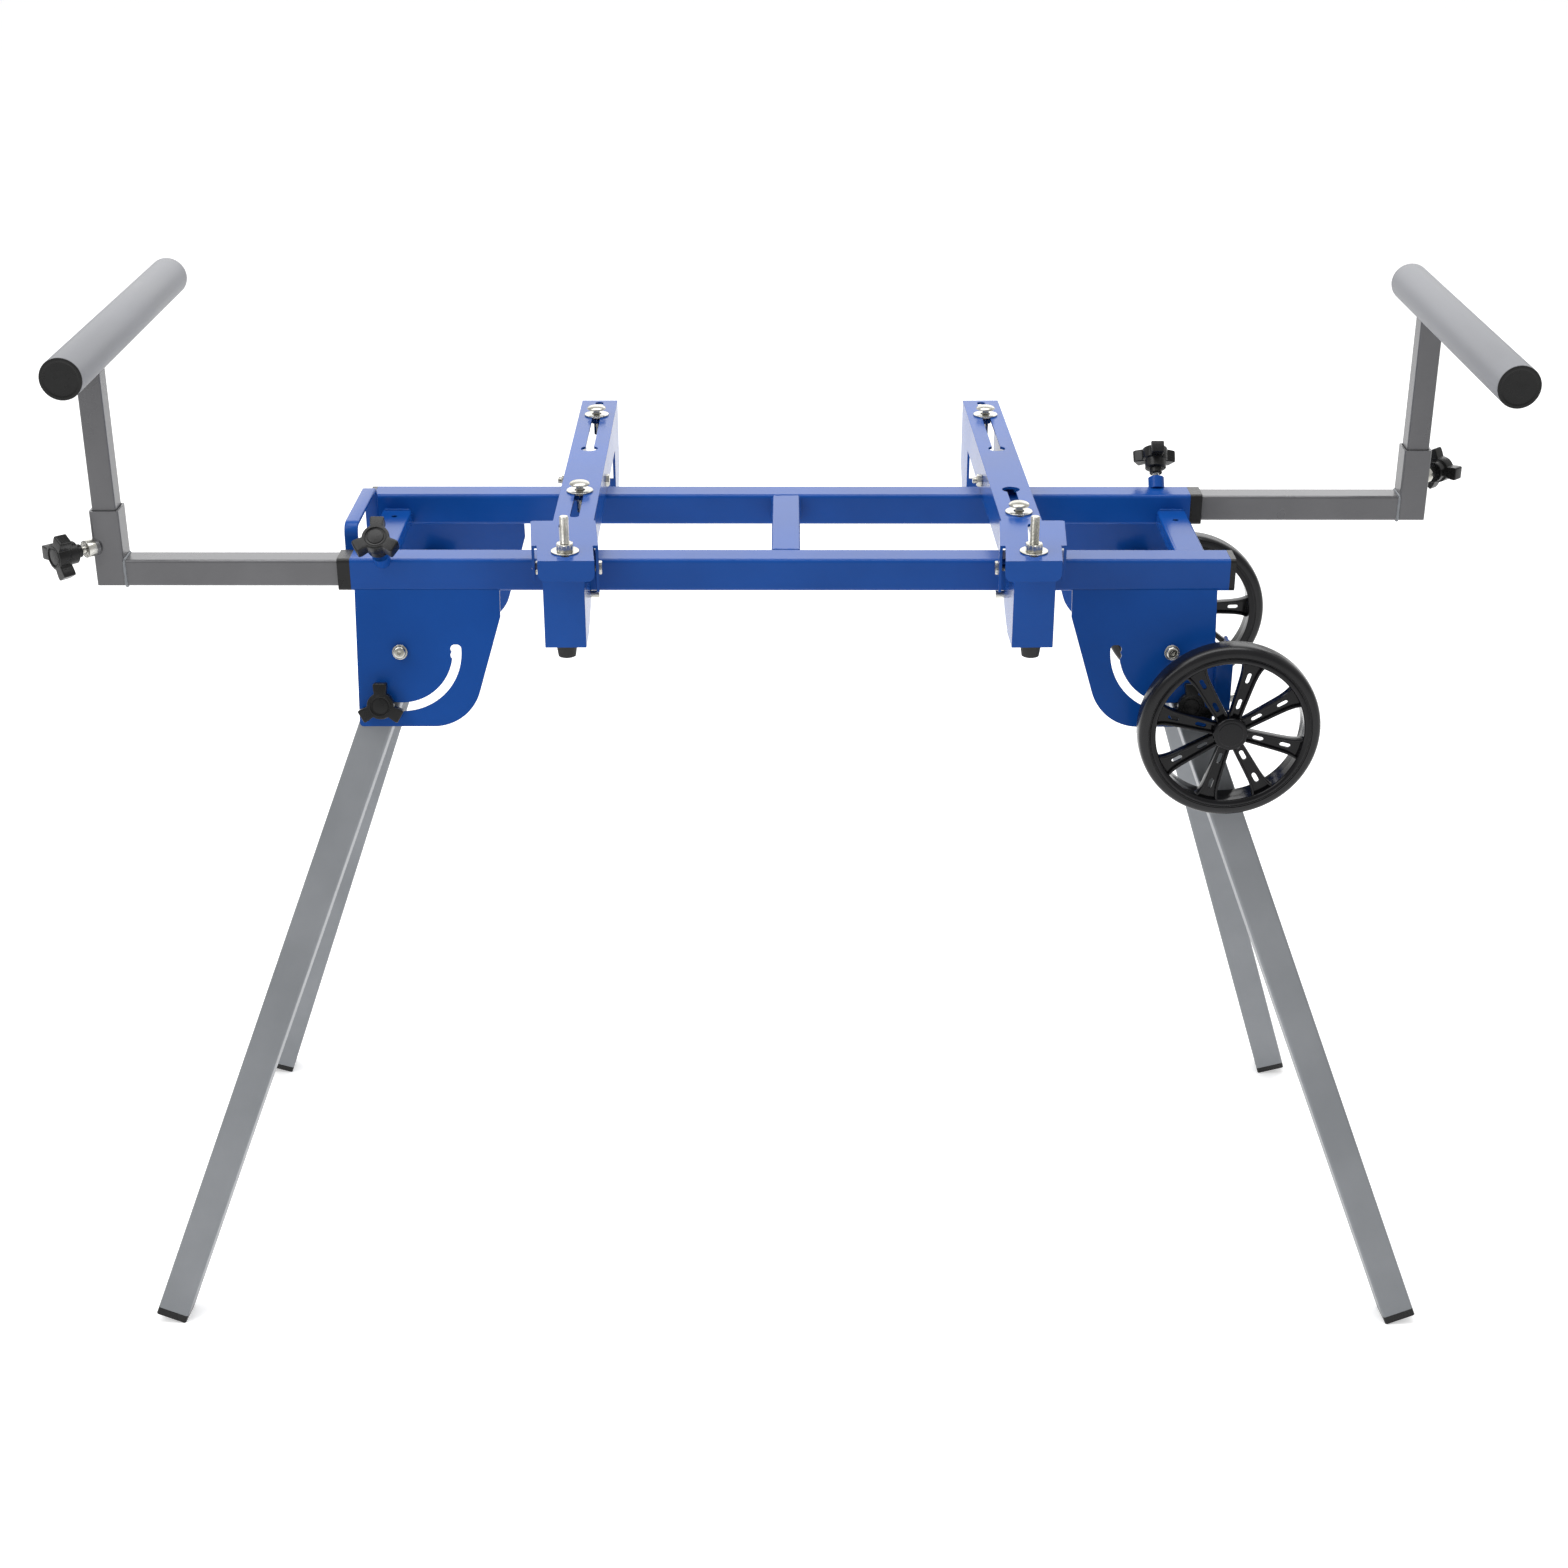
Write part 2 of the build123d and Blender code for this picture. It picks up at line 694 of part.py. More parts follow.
def plate_x(y, across):
    """Place across the front plate, which leans inwards as it comes nearer."""
    return across - plate_start - (-plate_near - y) * tan(radians(plate_skew))


def plate_strip(across, width, y0, y1, z0, z1):
    """Upright or flat strip of the front plate that follows its lean."""
    outline = Polyline((plate_x(y0, across), y0), (plate_x(y0, across + width), y0),
                       (plate_x(y1, across + width), y1), (plate_x(y1, across), y1), close=True)
    return extrude(Plane(origin=(0, 0, z0)) * make_face(outline), z1 - z0)


def front_slot():
    far_y = -front_slot_far - slot_half
    near_y = -front_slot_near + slot_half
    middle = plate_width / 2
    path = Line((plate_x(far_y, middle), far_y), (plate_x(near_y, middle), near_y))
    return SlotCenterPoint(path @ 0.5, path @ 0, 2 * slot_half)


def saw_bracket():
    """Sheet channel over both rails: wide front plate with a lip, open bar behind, rear leg."""
    under = bracket_z - sheet
    wall_low = rail_top + rest_gap
    wide = plate_strip(0, plate_width, -relief, -plate_near, under, bracket_z)
    wide = fillet(wide.edges().filter_by(Axis.Z).sort_by(Axis.Y)[-1], plate_corner)
    narrow_width = plate_width - 2 * lip_inset
    top = block(0, bar_width, -plate_near, bar_far, under, bracket_z) + wide
    top += plate_strip(lip_inset, narrow_width, -lip_y, -relief, under, bracket_z)
    holes = Plane(origin=(0, 0, under))
    top -= extrude(holes * keyhole(bar_slot_x, far_hole_y, far_slot_y), sheet)
    top -= extrude(holes * keyhole(bar_slot_x, -near_hole_y, -near_slot_y), sheet)
    top -= extrude(holes * front_slot(), sheet)
    lip_start = plate_x(-lip_y, lip_inset)
    lip_end = lip_start + narrow_width
    lip = block(lip_start, lip_end, -lip_y, -lip_y + sheet, bracket_z - lip_drop, bracket_z)
    lip = fillet(lip.edges().filter_by(Axis.Y).sort_by(Axis.Z)[:2], lip_round)
    inner = block(0, sheet, -plate_near, bar_far, wall_low, bracket_z)
    inner += plate_strip(0, sheet, -relief, -plate_near, wall_low, bracket_z)
    inner += plate_strip(0, sheet, -relief, -rail_outer - catch_gap, bracket_z - inner_drop, bracket_z)
    outer = block(bar_width - sheet, bar_width, -plate_near, bar_far, wall_low, bracket_z)
    edge = plate_width - sheet
    tab = plate_strip(edge, sheet, -relief, -tab_far, bracket_z - outer_drop, bracket_z)
    ear = plate_strip(edge, sheet, -lever_pivot_y - ear_half, -lever_pivot_y + ear_half, ear_low, bracket_z)
    body = top + lip + inner + outer + tab + ear
    body += rear_leg()
    body -= rod((-plate_width, -lever_pivot_y, lever_pivot_z), (1, 0, 0), 2 * plate_width, small_bolt)
    body -= rod((0, catch_bolt_y, catch_bolt_z), (1, 0, 0), bar_width, small_bolt)
    return body


def rear_leg():
    side = [(rear_leg_near, bracket_z), (bar_far, bracket_z), (bar_far, foot_z + rear_cut),
            (bar_far - rear_cut, foot_z), (rear_leg_near, foot_z)]
    leg_body = profile_yz(side, 0, sheet) + profile_yz(side, bar_width - sheet, bar_width)
    leg_body += block(0, bar_width, rear_leg_near, rear_leg_near + sheet, foot_z, rail_low)
    leg_body += block(0, bar_width, rear_leg_near, rear_leg_near + lever_tab, foot_z, foot_z + sheet)
    return leg_body


def rear_catch():
    """Hook inside the channel that reaches over the rear rail and under its outer edge."""
    low = catch_low
    back = rail_outer + catch_gap
    side = [(catch_bolt_y - catch_edge, catch_bolt_z - catch_edge), (catch_bolt_y - catch_edge,
            catch_bolt_z + catch_edge), (catch_behind, catch_bolt_z + catch_edge), (catch_behind, low),
            (catch_tip, low), (catch_tip, rail_low - catch_gap), (back, rail_low - catch_gap),
            (back, rail_top + catch_gap), (catch_bolt_y + catch_edge, rail_top + catch_gap)]
    body = profile_yz(side, sheet, 2 * sheet) + profile_yz(side, bar_width - 2 * sheet, bar_width - sheet)
    body += block(sheet, bar_width - sheet, catch_behind - sheet, catch_behind, low, catch_bolt_z)
    return body - rod((0, catch_bolt_y, catch_bolt_z), (1, 0, 0), bar_width, small_bolt)


def lever_side():
    """Side outline of the release lever: it hooks under the front rail by an arc about its pivot."""
    pivot = (-lever_pivot_y, lever_pivot_z)
    bottom = -lever_low_back
    points = [(-lever_front, foot_z), (-lever_front, lever_top),
              (-lever_pivot_y + lever_pivot_edge, lever_top),
              (-lever_back, rail_top - lever_pivot_edge), (-lever_back, rail_low - touch_gap * 2),
              (-lever_hook_in, rail_low - touch_gap * 2), (-lever_hook_in, rail_low - lever_pivot_edge),
              (-lever_back - sheet, rail_low - lever_hook_deep), (bottom, foot_z)]
    return points, pivot


def release_lever():
    points, pivot = lever_side()
    limit = rod((0, pivot[0], pivot[1]), (1, 0, 0), plate_width, hook_reach)
    front = block(0, plate_width, -lip_y, -lever_low_back, 0, bracket_z)
    body = profile_yz(points, lever_in, lever_in + sheet)
    body += profile_yz(points, lever_in + lever_width - sheet, lever_in + lever_width)
    body = body & (limit + front)
    out = lever_in + lever_width
    body += block(lever_in, out, -lever_front, -lever_front + sheet, foot_z, lever_top)
    body += block(lever_in, out, -lever_front, -lever_front + lever_tab, foot_z, foot_z + sheet)
    body -= rod((0, -lever_pivot_y, lever_pivot_z), (1, 0, 0), plate_width, small_bolt + shaft_gap)
    return body - rod((0, -lever_pin_y, rail_low - lever_pin_drop), (1, 0, 0), plate_width, small_bolt)


def lock_pin():
    """Bolt across the lever under the rail, with its nut on the inner side."""
    place = (-lever_pin_y, rail_low - lever_pin_drop)
    start = lever_in - nut_high
    bolt = rod((start - sheet, place[0], place[1]), (1, 0, 0), lever_width + nut_high + sheet, small_bolt)
    head = rod((lever_in + lever_width, place[0], place[1]), (1, 0, 0), sheet, small_bolt)
    nut_plane = Plane(origin=(start, place[0], place[1]), x_dir=(0, 1, 0), z_dir=(1, 0, 0))
    pin_nut = extrude(nut_plane * Circle(small_bolt + shaft_gap), nut_high)
    nut = extrude(nut_plane * RegularPolygon(small_bolt, 6), nut_high)
    return Compound([bolt + head + (nut - pin_nut)])


def rubber_foot(x, y):
    plane = Plane(origin=(x, y, foot_z), z_dir=(0, 0, -1))
    return Part(Solid.make_cone(rubber_wide, rubber_narrow, rubber_high, plane).wrapped)


def lever_foot():
    return rubber_foot(lever_in + lever_width / 2, -lever_foot_y)


def rear_foot():
    return rubber_foot(bar_width / 2, rear_foot_y - sheet)


def cross_plane(x):
    return Plane(origin=(x, -lever_pivot_y, lever_pivot_z), z_dir=(1, 0, 0))


def cross_bolts():
    """Lever pivot bolt: low head on the plate's inner wall, nut inside the ear, end flush with the ear."""
    rock = nut_flat / 2 * tan(radians(plate_skew))
    inner_face = plate_x(-lever_pivot_y, 0) - rock
    ear_out = plate_x(-lever_pivot_y, plate_width)
    nut_start = plate_x(-lever_pivot_y, plate_width - sheet) - rock - nut_high
    start = (inner_face, -lever_pivot_y, lever_pivot_z)
    bolt = rod(start, (1, 0, 0), ear_out - inner_face, small_bolt)
    bolt += hexagon(cross_plane(inner_face - low_head_high), nut_flat, low_head_high)
    return [bolt, hexagon(cross_plane(nut_start), nut_flat, nut_high, small_bolt)]


def catch_bolt(side):
    """Across the bar; the head points to the right on both brackets, so it is drawn per side."""
    head_x = bar_width if side > 0 else -mount_head_high
    nut_x = -nut_high if side > 0 else bar_width
    tail = -nut_high - nut_tail if side > 0 else 0
    bolt = rod((tail, catch_bolt_y, catch_bolt_z), (1, 0, 0), bar_width + nut_high + nut_tail, small_bolt)
    head_seat = Plane(origin=(head_x, catch_bolt_y, catch_bolt_z), z_dir=(1, 0, 0))
    nut_seat = Plane(origin=(nut_x, catch_bolt_y, catch_bolt_z), z_dir=(1, 0, 0))
    bolt += hexagon(head_seat, nut_flat, mount_head_high)
    return [bolt, hexagon(nut_seat, nut_flat, nut_high, small_bolt)]


def carriage_bolt(x, y):
    """Dome-headed bolt standing on its washer, nut under the sheet."""
    seat = bracket_z + big_washer_high
    washer = rod((x, y, bracket_z), (0, 0, 1), big_washer_high, big_washer) - rod(
        (x, y, bracket_z), (0, 0, 1), big_washer_high, big_washer_bore)
    neck = block(x - neck_side / 2, x + neck_side / 2, y - neck_side / 2, y + neck_side / 2, bracket_z,
                 seat + neck_high)
    dome = rod((x, y, seat + neck_high), (0, 0, 1), dome_high, dome_radius)
    dome = fillet(dome.edges().sort_by(Axis.Z)[-1], dome_round)
    shank = rod((x, y, bracket_z - bolt_down), (0, 0, 1), bolt_down, small_bolt)
    under = bracket_z - sheet - nut_high
    nut = hexagon(Plane(origin=(x, y, under)), nut_flat, nut_high, small_bolt)
    return [washer, dome + neck + shank, nut]


def front_bolt():
    """Bolt standing up through the front slot, head below, washer and nut on top; it carries the saw."""
    y = front_bolt_y
    x = plate_x(y, plate_width / 2)
    washer = rod((x, y, bracket_z), (0, 0, 1), washer_high, big_washer)
    washer -= rod((x, y, bracket_z), (0, 0, 1), washer_high, front_bolt_radius)
    nut_seat = Plane(origin=(x, y, bracket_z + washer_high))
    nut = hexagon(nut_seat, front_flat, front_nut_high, front_bolt_radius)
    low = bracket_z - sheet - front_head_high
    free = bracket_z + washer_high + front_nut_high
    bolt = rod((x, y, low), (0, 0, 1), free - low, front_core)
    bolt += rod((x, y, free), (0, 0, 1), bracket_z + bolt_up - free, front_bolt_radius)
    bolt += hexagon(Plane(origin=(x, y, low)), front_flat, front_head_high)
    return [washer, nut, bolt]


def saw_bolts(side):
    near = near_bolt_y_right if side > 0 else near_bolt_y_left
    return carriage_bolt(bar_slot_x, far_bolt_y) + carriage_bolt(bar_slot_x, near) + front_bolt()


def middle_y():
    """The origin lies under the middle of the stand, from the front feet to the brackets' rear ends."""
    near = foot_cap(front_tilt).bounding_box().min.Y
    far = max(place_bracket(saw_bracket(), side).bounding_box().max.Y for side in (-1, 1))
    return (near + far) / 2


def save(name, shape):
    os.makedirs("parts", exist_ok=True)
    export_step(Pos(0, -origin_y, 0) * shape, "parts/" + name + ".step")


def group(solids):
    return Compound(solids)


def save_frame():
    save("front_rail", front_rail())
    save("rear_rail", half_turn(front_rail()))
    ends = [collar(), rail_plug()]
    save("rail_ends", group(ends + [half_turn(end) for end in ends]))
    save("rail_bosses", group([rail_boss(), half_turn(rail_boss())]))
    save("centre_tube", centre_tube())
    left = end_tube(-end_tube_left[0], -end_tube_left[1], end_hole_left_y)
    right = end_tube(end_tube_right[0], end_tube_right[1], end_hole_right_y)
    save("end_tubes", group([left, right]))
    save("carry_handle", carry_handle())


corners = {"front_left": (-1, -1, front_tilt), "front_right": (1, -1, front_tilt),
           "rear_left": (-1, 1, rear_left_tilt), "rear_right": (1, 1, rear_right_tilt)}


def save_legs():
    fasteners = []
    for name, (side_x, side_y, lean) in corners.items():
        edge = plate_edge + rear_wheel_out if name == "rear_right" else plate_edge
        save("plate_" + name, corner_copy(leg_plate(edge, lean), side_x, side_y))
        save("leg_" + name, corner_copy(leg(lean), side_x, side_y))
        save("foot_cap_" + name, corner_copy(foot_cap(lean), side_x, side_y))
        save("leg_knob_" + name, corner_copy(leg_knob(lean), side_x, side_y))
        fasteners += [corner_copy(pivot_bolt(), side_x, side_y), corner_copy(pivot_nut(), side_x, side_y)]
    save("leg_pivot_bolts", group(fasteners))


def wheel_place(shape, side_y):
    """The rear wheel sits a little further out and lower than the front one."""
    shape = corner_copy(shape, 1, side_y)
    return Pos(rear_wheel_out, 0, -rear_wheel_drop) * shape if side_y > 0 else shape


def save_wheels():
    mounts = []
    axles = []
    for name, side_y in (("front", -1), ("rear", 1)):
        first = spoke_first_front if side_y < 0 else spoke_first_rear
        save("tyre_" + name, wheel_place(tyre(), side_y))
        save("wheel_" + name, wheel_place(wheel_rim(first), side_y))
        save("hub_cap_" + name, wheel_place(hub_cap(), side_y))
        mounts.append(wheel_place(wheel_mount(), side_y))
        axles += [wheel_place(piece, side_y) for piece in [wheel_axle()] + mount_bolts()]
    save("wheel_mounts", group(mounts))
    save("wheel_axles", group(axles))


def save_arms():
    for name, turned in (("left", False), ("right", True)):
        pieces = {"arm": arm(), "socket": group([socket(), socket_boss()]), "post": post(),
                  "support_tube": support_tube(), "support_plugs": support_plugs(),
                  "rail_knob": rail_knob(), "socket_knob": socket_knob()}
        for piece, shape in pieces.items():
            save(piece + "_" + name, half_turn(shape) if turned else shape)


def save_brackets():
    for name, side in (("left", -1), ("right", 1)):
        save("saw_bracket_" + name, place_bracket(saw_bracket(), side))
        save("rear_catch_" + name, place_bracket(rear_catch(), side))
        save("release_lever_" + name, place_bracket(release_lever(), side))
        save("lock_pin_" + name, place_bracket(lock_pin(), side))
        save("lever_foot_" + name, place_bracket(lever_foot(), side))
        save("rear_foot_" + name, place_bracket(rear_foot(), side))
        bolts = saw_bolts(side) + cross_bolts() + catch_bolt(side)
        save("bracket_bolts_" + name, group([place_bracket(bolt, side) for bolt in bolts]))


origin_y = middle_y()
save_frame()
save_legs()
save_wheels()
save_arms()
save_brackets()
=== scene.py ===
import bmesh
import bpy
import json
import math
import numpy as np
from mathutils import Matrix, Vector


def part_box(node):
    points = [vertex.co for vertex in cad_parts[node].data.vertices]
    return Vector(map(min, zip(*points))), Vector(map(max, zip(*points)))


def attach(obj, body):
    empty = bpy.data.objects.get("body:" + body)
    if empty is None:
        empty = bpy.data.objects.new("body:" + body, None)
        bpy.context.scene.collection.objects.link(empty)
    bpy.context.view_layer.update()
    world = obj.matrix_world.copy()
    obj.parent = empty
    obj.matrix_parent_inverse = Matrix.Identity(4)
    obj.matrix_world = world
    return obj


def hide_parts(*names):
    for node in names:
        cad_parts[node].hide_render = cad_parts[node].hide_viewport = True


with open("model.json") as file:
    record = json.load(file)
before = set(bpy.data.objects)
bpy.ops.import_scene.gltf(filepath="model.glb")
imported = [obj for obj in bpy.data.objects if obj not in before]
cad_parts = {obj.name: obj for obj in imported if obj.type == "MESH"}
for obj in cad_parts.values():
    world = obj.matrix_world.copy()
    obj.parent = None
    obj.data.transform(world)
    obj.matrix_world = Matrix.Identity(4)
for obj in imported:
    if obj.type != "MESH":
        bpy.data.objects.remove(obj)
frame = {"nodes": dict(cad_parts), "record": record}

scene = bpy.context.scene
nodes = frame["nodes"]
joints = {joint["name"]: joint for joint in frame["record"]["behaviour"]["joints"]}
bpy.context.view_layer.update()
print("frame loaded:", len(nodes), "nodes")

cameraView = {"place": (0.002375, -2.650736, 1.7655), "down": 24.602, "turn": 0.102, "focal": 55.067}


def makeCamera():
    # pinhole fitted to the photograph: looks along +Y, tipped down
    data = bpy.data.cameras.new("camera")
    camera = bpy.data.objects.new("camera", data)
    data.sensor_width = 36
    data.lens = cameraView["focal"]
    data.clip_start = 0.05
    data.clip_end = 200
    camera.location = cameraView["place"]
    camera.rotation_euler = (math.radians(90 - cameraView["down"]), 0, math.radians(cameraView["turn"]))
    scene.collection.objects.link(camera)
    scene.camera = camera


def newMaterial(name):
    paint = bpy.data.materials.new(name)
    paint.use_nodes = True
    return paint, paint.node_tree, paint.node_tree.nodes["Principled BSDF"]


studio = {"floorSize": 40.0, "paper": (0.86, 0.86, 0.86), "floorGlow": 0.42, "front": 0.5, "back": 0.85,
          "sky": 1.0}


def makeFloor():
    # one wide sheet of white paper that fills the view
    size = studio["floorSize"]
    mesh = bpy.data.meshes.new("floor")
    corners = [(-size, -size, 0), (size, -size, 0), (size, size, 0), (-size, size, 0)]
    mesh.from_pydata(corners, [], [(0, 1, 2, 3)])
    floor = bpy.data.objects.new("floor", mesh)
    scene.collection.objects.link(floor)
    paint, _, shader = newMaterial("floorPaper")
    shader.inputs["Base Color"].default_value = (*studio["paper"], 1)
    shader.inputs["Roughness"].default_value = 0.95
    shader.inputs["Specular IOR Level"].default_value = 0.0
    shader.inputs["Emission Color"].default_value = (1, 1, 1, 1)  # lifts the paper to clean white
    shader.inputs["Emission Strength"].default_value = studio["floorGlow"]
    mesh.materials.append(paint)


def makeWorld():
    # brighter behind the stand than in front of it
    world = bpy.data.worlds.new("studio")
    scene.world = world
    world.use_nodes = True
    tree = world.node_tree
    back = tree.nodes["Background"]
    where = tree.nodes.new("ShaderNodeTexCoord")
    split = tree.nodes.new("ShaderNodeSeparateXYZ")
    tree.links.new(where.outputs["Generated"], split.inputs[0])
    spread = tree.nodes.new("ShaderNodeMapRange")
    spread.inputs["From Min"].default_value = -1.0
    spread.inputs["From Max"].default_value = 1.0
    tree.links.new(split.outputs[1], spread.inputs["Value"])
    ramp = tree.nodes.new("ShaderNodeValToRGB")
    ramp.color_ramp.elements[0].color = (studio["front"], studio["front"], studio["front"], 1)
    ramp.color_ramp.elements[1].color = (studio["back"], studio["back"], studio["back"], 1)
    tree.links.new(spread.outputs[0], ramp.inputs[0])
    tree.links.new(ramp.outputs[0], back.inputs[0])
    back.inputs[1].default_value = studio["sky"]


def softLight(name, place, aim, size, power):
    data = bpy.data.lights.new(name, "AREA")
    data.shape = "RECTANGLE"
    data.size, data.size_y = size
    data.energy = power
    lamp = bpy.data.objects.new(name, data)
    lamp.location = place
    way = np.array(aim) - np.array(place)
    flat = math.hypot(way[0], way[1])
    lamp.rotation_euler = (math.atan2(flat, -way[2]), 0, math.atan2(-way[0], way[1]) if flat > 1e-6 else 0)
    scene.collection.objects.link(lamp)


makeCamera()
makeFloor()
makeWorld()
softLight("keyLight", (-2.4, -1.4, 3.6), (0, 0, 0.8), (2.4, 2.4), 50)
softLight("backLight", (0.2, 4.6, 2.7), (0, 0, 0.7), (7.0, 2.4), 68)
softLight("topLight", (0, 0.1, 3.4), (0, 0.1, 0), (2.8, 1.6), 55)
scene.view_settings.view_transform = "Standard"
print("camera and studio ready")

# colour and dark are the two ends of a soft blotch, grain its scale per metre; peel is the ripple of the coat
finishes = {
    "blue_paint": {"colour": (0.006, 0.066, 0.305), "dark": (0.005, 0.054, 0.250), "grain": 7, "rough": 0.20,
                   "metal": 0.0, "gleam": 0.16, "peel": 160, "lift": 0.05, "edge": 0.0009},
    "grey_paint": {"colour": (0.232, 0.243, 0.258), "dark": (0.192, 0.203, 0.216), "grain": 9, "rough": 0.40,
                   "metal": 0.25, "gleam": 0.4, "peel": 900, "lift": 0.05, "edge": 0.0009},
    "armGrey": {"colour": (0.130, 0.130, 0.136), "dark": (0.106, 0.106, 0.111), "grain": 9, "rough": 0.28,
                "metal": 0.4, "gleam": 0.5, "peel": 900, "lift": 0.04, "edge": 0.0009},
    "silver_paint": {"colour": (0.218, 0.222, 0.238), "dark": (0.190, 0.194, 0.208), "grain": 9, "rough": 0.50,
                     "metal": 0.15, "gleam": 0.5, "peel": 700, "lift": 0.03, "edge": 0.0006},
    "zinc_steel": {"colour": (0.62, 0.61, 0.57), "dark": (0.42, 0.41, 0.36), "grain": 60, "rough": 0.24,
                   "metal": 1.0, "gleam": 0.5, "peel": 500, "lift": 0.02, "edge": 0.0004},
    "black_plastic": {"colour": (0.011, 0.011, 0.011), "dark": (0.007, 0.007, 0.007), "grain": 40, "rough": 0.27,
                      "metal": 0.0, "gleam": 0.26, "peel": 1500, "lift": 0.08, "edge": 0.0005},
    "rimGloss": {"colour": (0.007, 0.007, 0.008), "dark": (0.004, 0.004, 0.005), "grain": 20, "rough": 0.14,
                 "metal": 0.0, "gleam": 0.22, "peel": 700, "lift": 0.03, "edge": 0.0},
    "tyre_rubber": {"colour": (0.008, 0.008, 0.009), "dark": (0.005, 0.005, 0.006), "grain": 25, "rough": 0.24,
                    "metal": 0.0, "gleam": 0.32, "peel": 900, "lift": 0.05, "edge": 0.0},
    "black_rubber": {"colour": (0.014, 0.014, 0.014), "dark": (0.009, 0.009, 0.009), "grain": 40, "rough": 0.62,
                     "metal": 0.0, "gleam": 0.4, "peel": 1200, "lift": 0.12, "edge": 0.0004},
}


def finish(name):
    # blotched colour and gloss, a rippled coat, and edges rounded off in the light
    values = finishes[name]
    paint, tree, shader = newMaterial(name)
    where = tree.nodes.new("ShaderNodeTexCoord")
    blotch = tree.nodes.new("ShaderNodeTexNoise")
    blotch.inputs["Scale"].default_value = values["grain"]
    blotch.inputs["Detail"].default_value = 5
    ramp = tree.nodes.new("ShaderNodeValToRGB")
    ramp.color_ramp.elements[0].position = 0.34
    ramp.color_ramp.elements[0].color = (*values["dark"], 1)
    ramp.color_ramp.elements[1].position = 0.68
    ramp.color_ramp.elements[1].color = (*values["colour"], 1)
    tree.links.new(where.outputs["Object"], blotch.inputs["Vector"])
    tree.links.new(blotch.outputs["Fac"], ramp.inputs[0])
    tree.links.new(ramp.outputs[0], shader.inputs["Base Color"])
    gloss = tree.nodes.new("ShaderNodeMapRange")
    gloss.inputs["To Min"].default_value = values["rough"] * 0.8
    gloss.inputs["To Max"].default_value = values["rough"] * 1.25
    tree.links.new(blotch.outputs["Fac"], gloss.inputs["Value"])
    tree.links.new(gloss.outputs[0], shader.inputs["Roughness"])
    ripple = tree.nodes.new("ShaderNodeTexNoise")
    ripple.inputs["Scale"].default_value = values["peel"]
    ripple.inputs["Detail"].default_value = 2
    tree.links.new(where.outputs["Object"], ripple.inputs["Vector"])
    bump = tree.nodes.new("ShaderNodeBump")
    bump.inputs["Strength"].default_value = values["lift"]
    bump.inputs["Distance"].default_value = 0.001
    tree.links.new(ripple.outputs["Fac"], bump.inputs["Height"])
    if values["edge"]:
        edge = tree.nodes.new("ShaderNodeBevel")
        edge.samples = 4
        edge.inputs["Radius"].default_value = values["edge"]
        tree.links.new(edge.outputs[0], bump.inputs["Normal"])
    tree.links.new(bump.outputs[0], shader.inputs["Normal"])
    shader.inputs["Metallic"].default_value = values["metal"]
    shader.inputs["Specular IOR Level"].default_value = values["gleam"]
    return paint


paints = {name: finish(name) for name in finishes}
for entry in frame["record"]["subparts"]:
    mesh = nodes[entry["node"]].data
    mesh.materials.clear()
    onArm = entry["node"].startswith(("arm_", "post_", "socket_l", "socket_r"))
    mesh.materials.append(paints["armGrey" if onArm else entry["material_slot"]])
print("finishes on the solids")


def gridFaces(rows, cols, wrapRows, wrapCols, first):
    # quads between neighbouring points of a rows x cols grid, joined round where asked
    r = np.arange(rows if wrapRows else rows - 1)
    c = np.arange(cols if wrapCols else cols - 1)
    r, c = np.meshgrid(r, c, indexing="ij")
    nextR, nextC = (r + 1) % rows, (c + 1) % cols
    quads = np.stack([r * cols + c, r * cols + nextC, nextR * cols + nextC, nextR * cols + c], -1)
    return quads.reshape(-1, 4) + first


def surface(points, wrapRows=False, wrapCols=True, capStart=False, capEnd=False):
    # a grid of points (rows, cols, 3) with a fan over its first or last row where asked
    rows, cols = points.shape[:2]
    flat = points.reshape(-1, 3)
    faces = gridFaces(rows, cols, wrapRows, wrapCols, 0).tolist()
    ring = np.arange(cols)
    for wanted, row in ((capStart, 0), (capEnd, rows - 1)):
        if wanted:
            flat = np.vstack([flat, points[row].mean(0)])
            hub = len(flat) - 1
            edge = row * cols + ring
            faces += np.stack([edge, np.roll(edge, -1), np.full(cols, hub)], -1).tolist()
    return flat, faces


def placed(points, origin, across, up):
    # local (x, y, z) to the object's frame: x along across, z along up, y completes the right-handed set
    up = np.array(up, float) / np.linalg.norm(up)
    across = np.array(across, float)
    across = across - up * (across @ up)
    across = across / np.linalg.norm(across)
    side = np.cross(up, across)
    return np.asarray(origin) + points[..., 0:1] * across + points[..., 1:2] * side + points[..., 2:3] * up


def makePiece(name, parts, paint, body, stands=(), angle=32):
    # parts are (points, faces) pairs; they become one mesh with merged doubles and outward normals
    mesh = bpy.data.meshes.new(name)
    points, faces = [], []
    count = 0
    for somePoints, someFaces in parts:
        points.append(somePoints)
        faces += [[i + count for i in f] for f in someFaces]
        count += len(somePoints)
    mesh.from_pydata(np.vstack(points).tolist(), [], faces)
    shape = bmesh.new()
    shape.from_mesh(mesh)
    bmesh.ops.remove_doubles(shape, verts=shape.verts, dist=1e-6)
    bmesh.ops.recalc_face_normals(shape, faces=shape.faces)
    shape.to_mesh(mesh)
    shape.free()
    mesh.shade_smooth()
    mesh.set_sharp_from_angle(angle=math.radians(angle))
    piece = bpy.data.objects.new(name, mesh)
    scene.collection.objects.link(piece)
    mesh.materials.append(paint)
    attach(piece, body)
    if stands:
        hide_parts(*stands)
    return piece


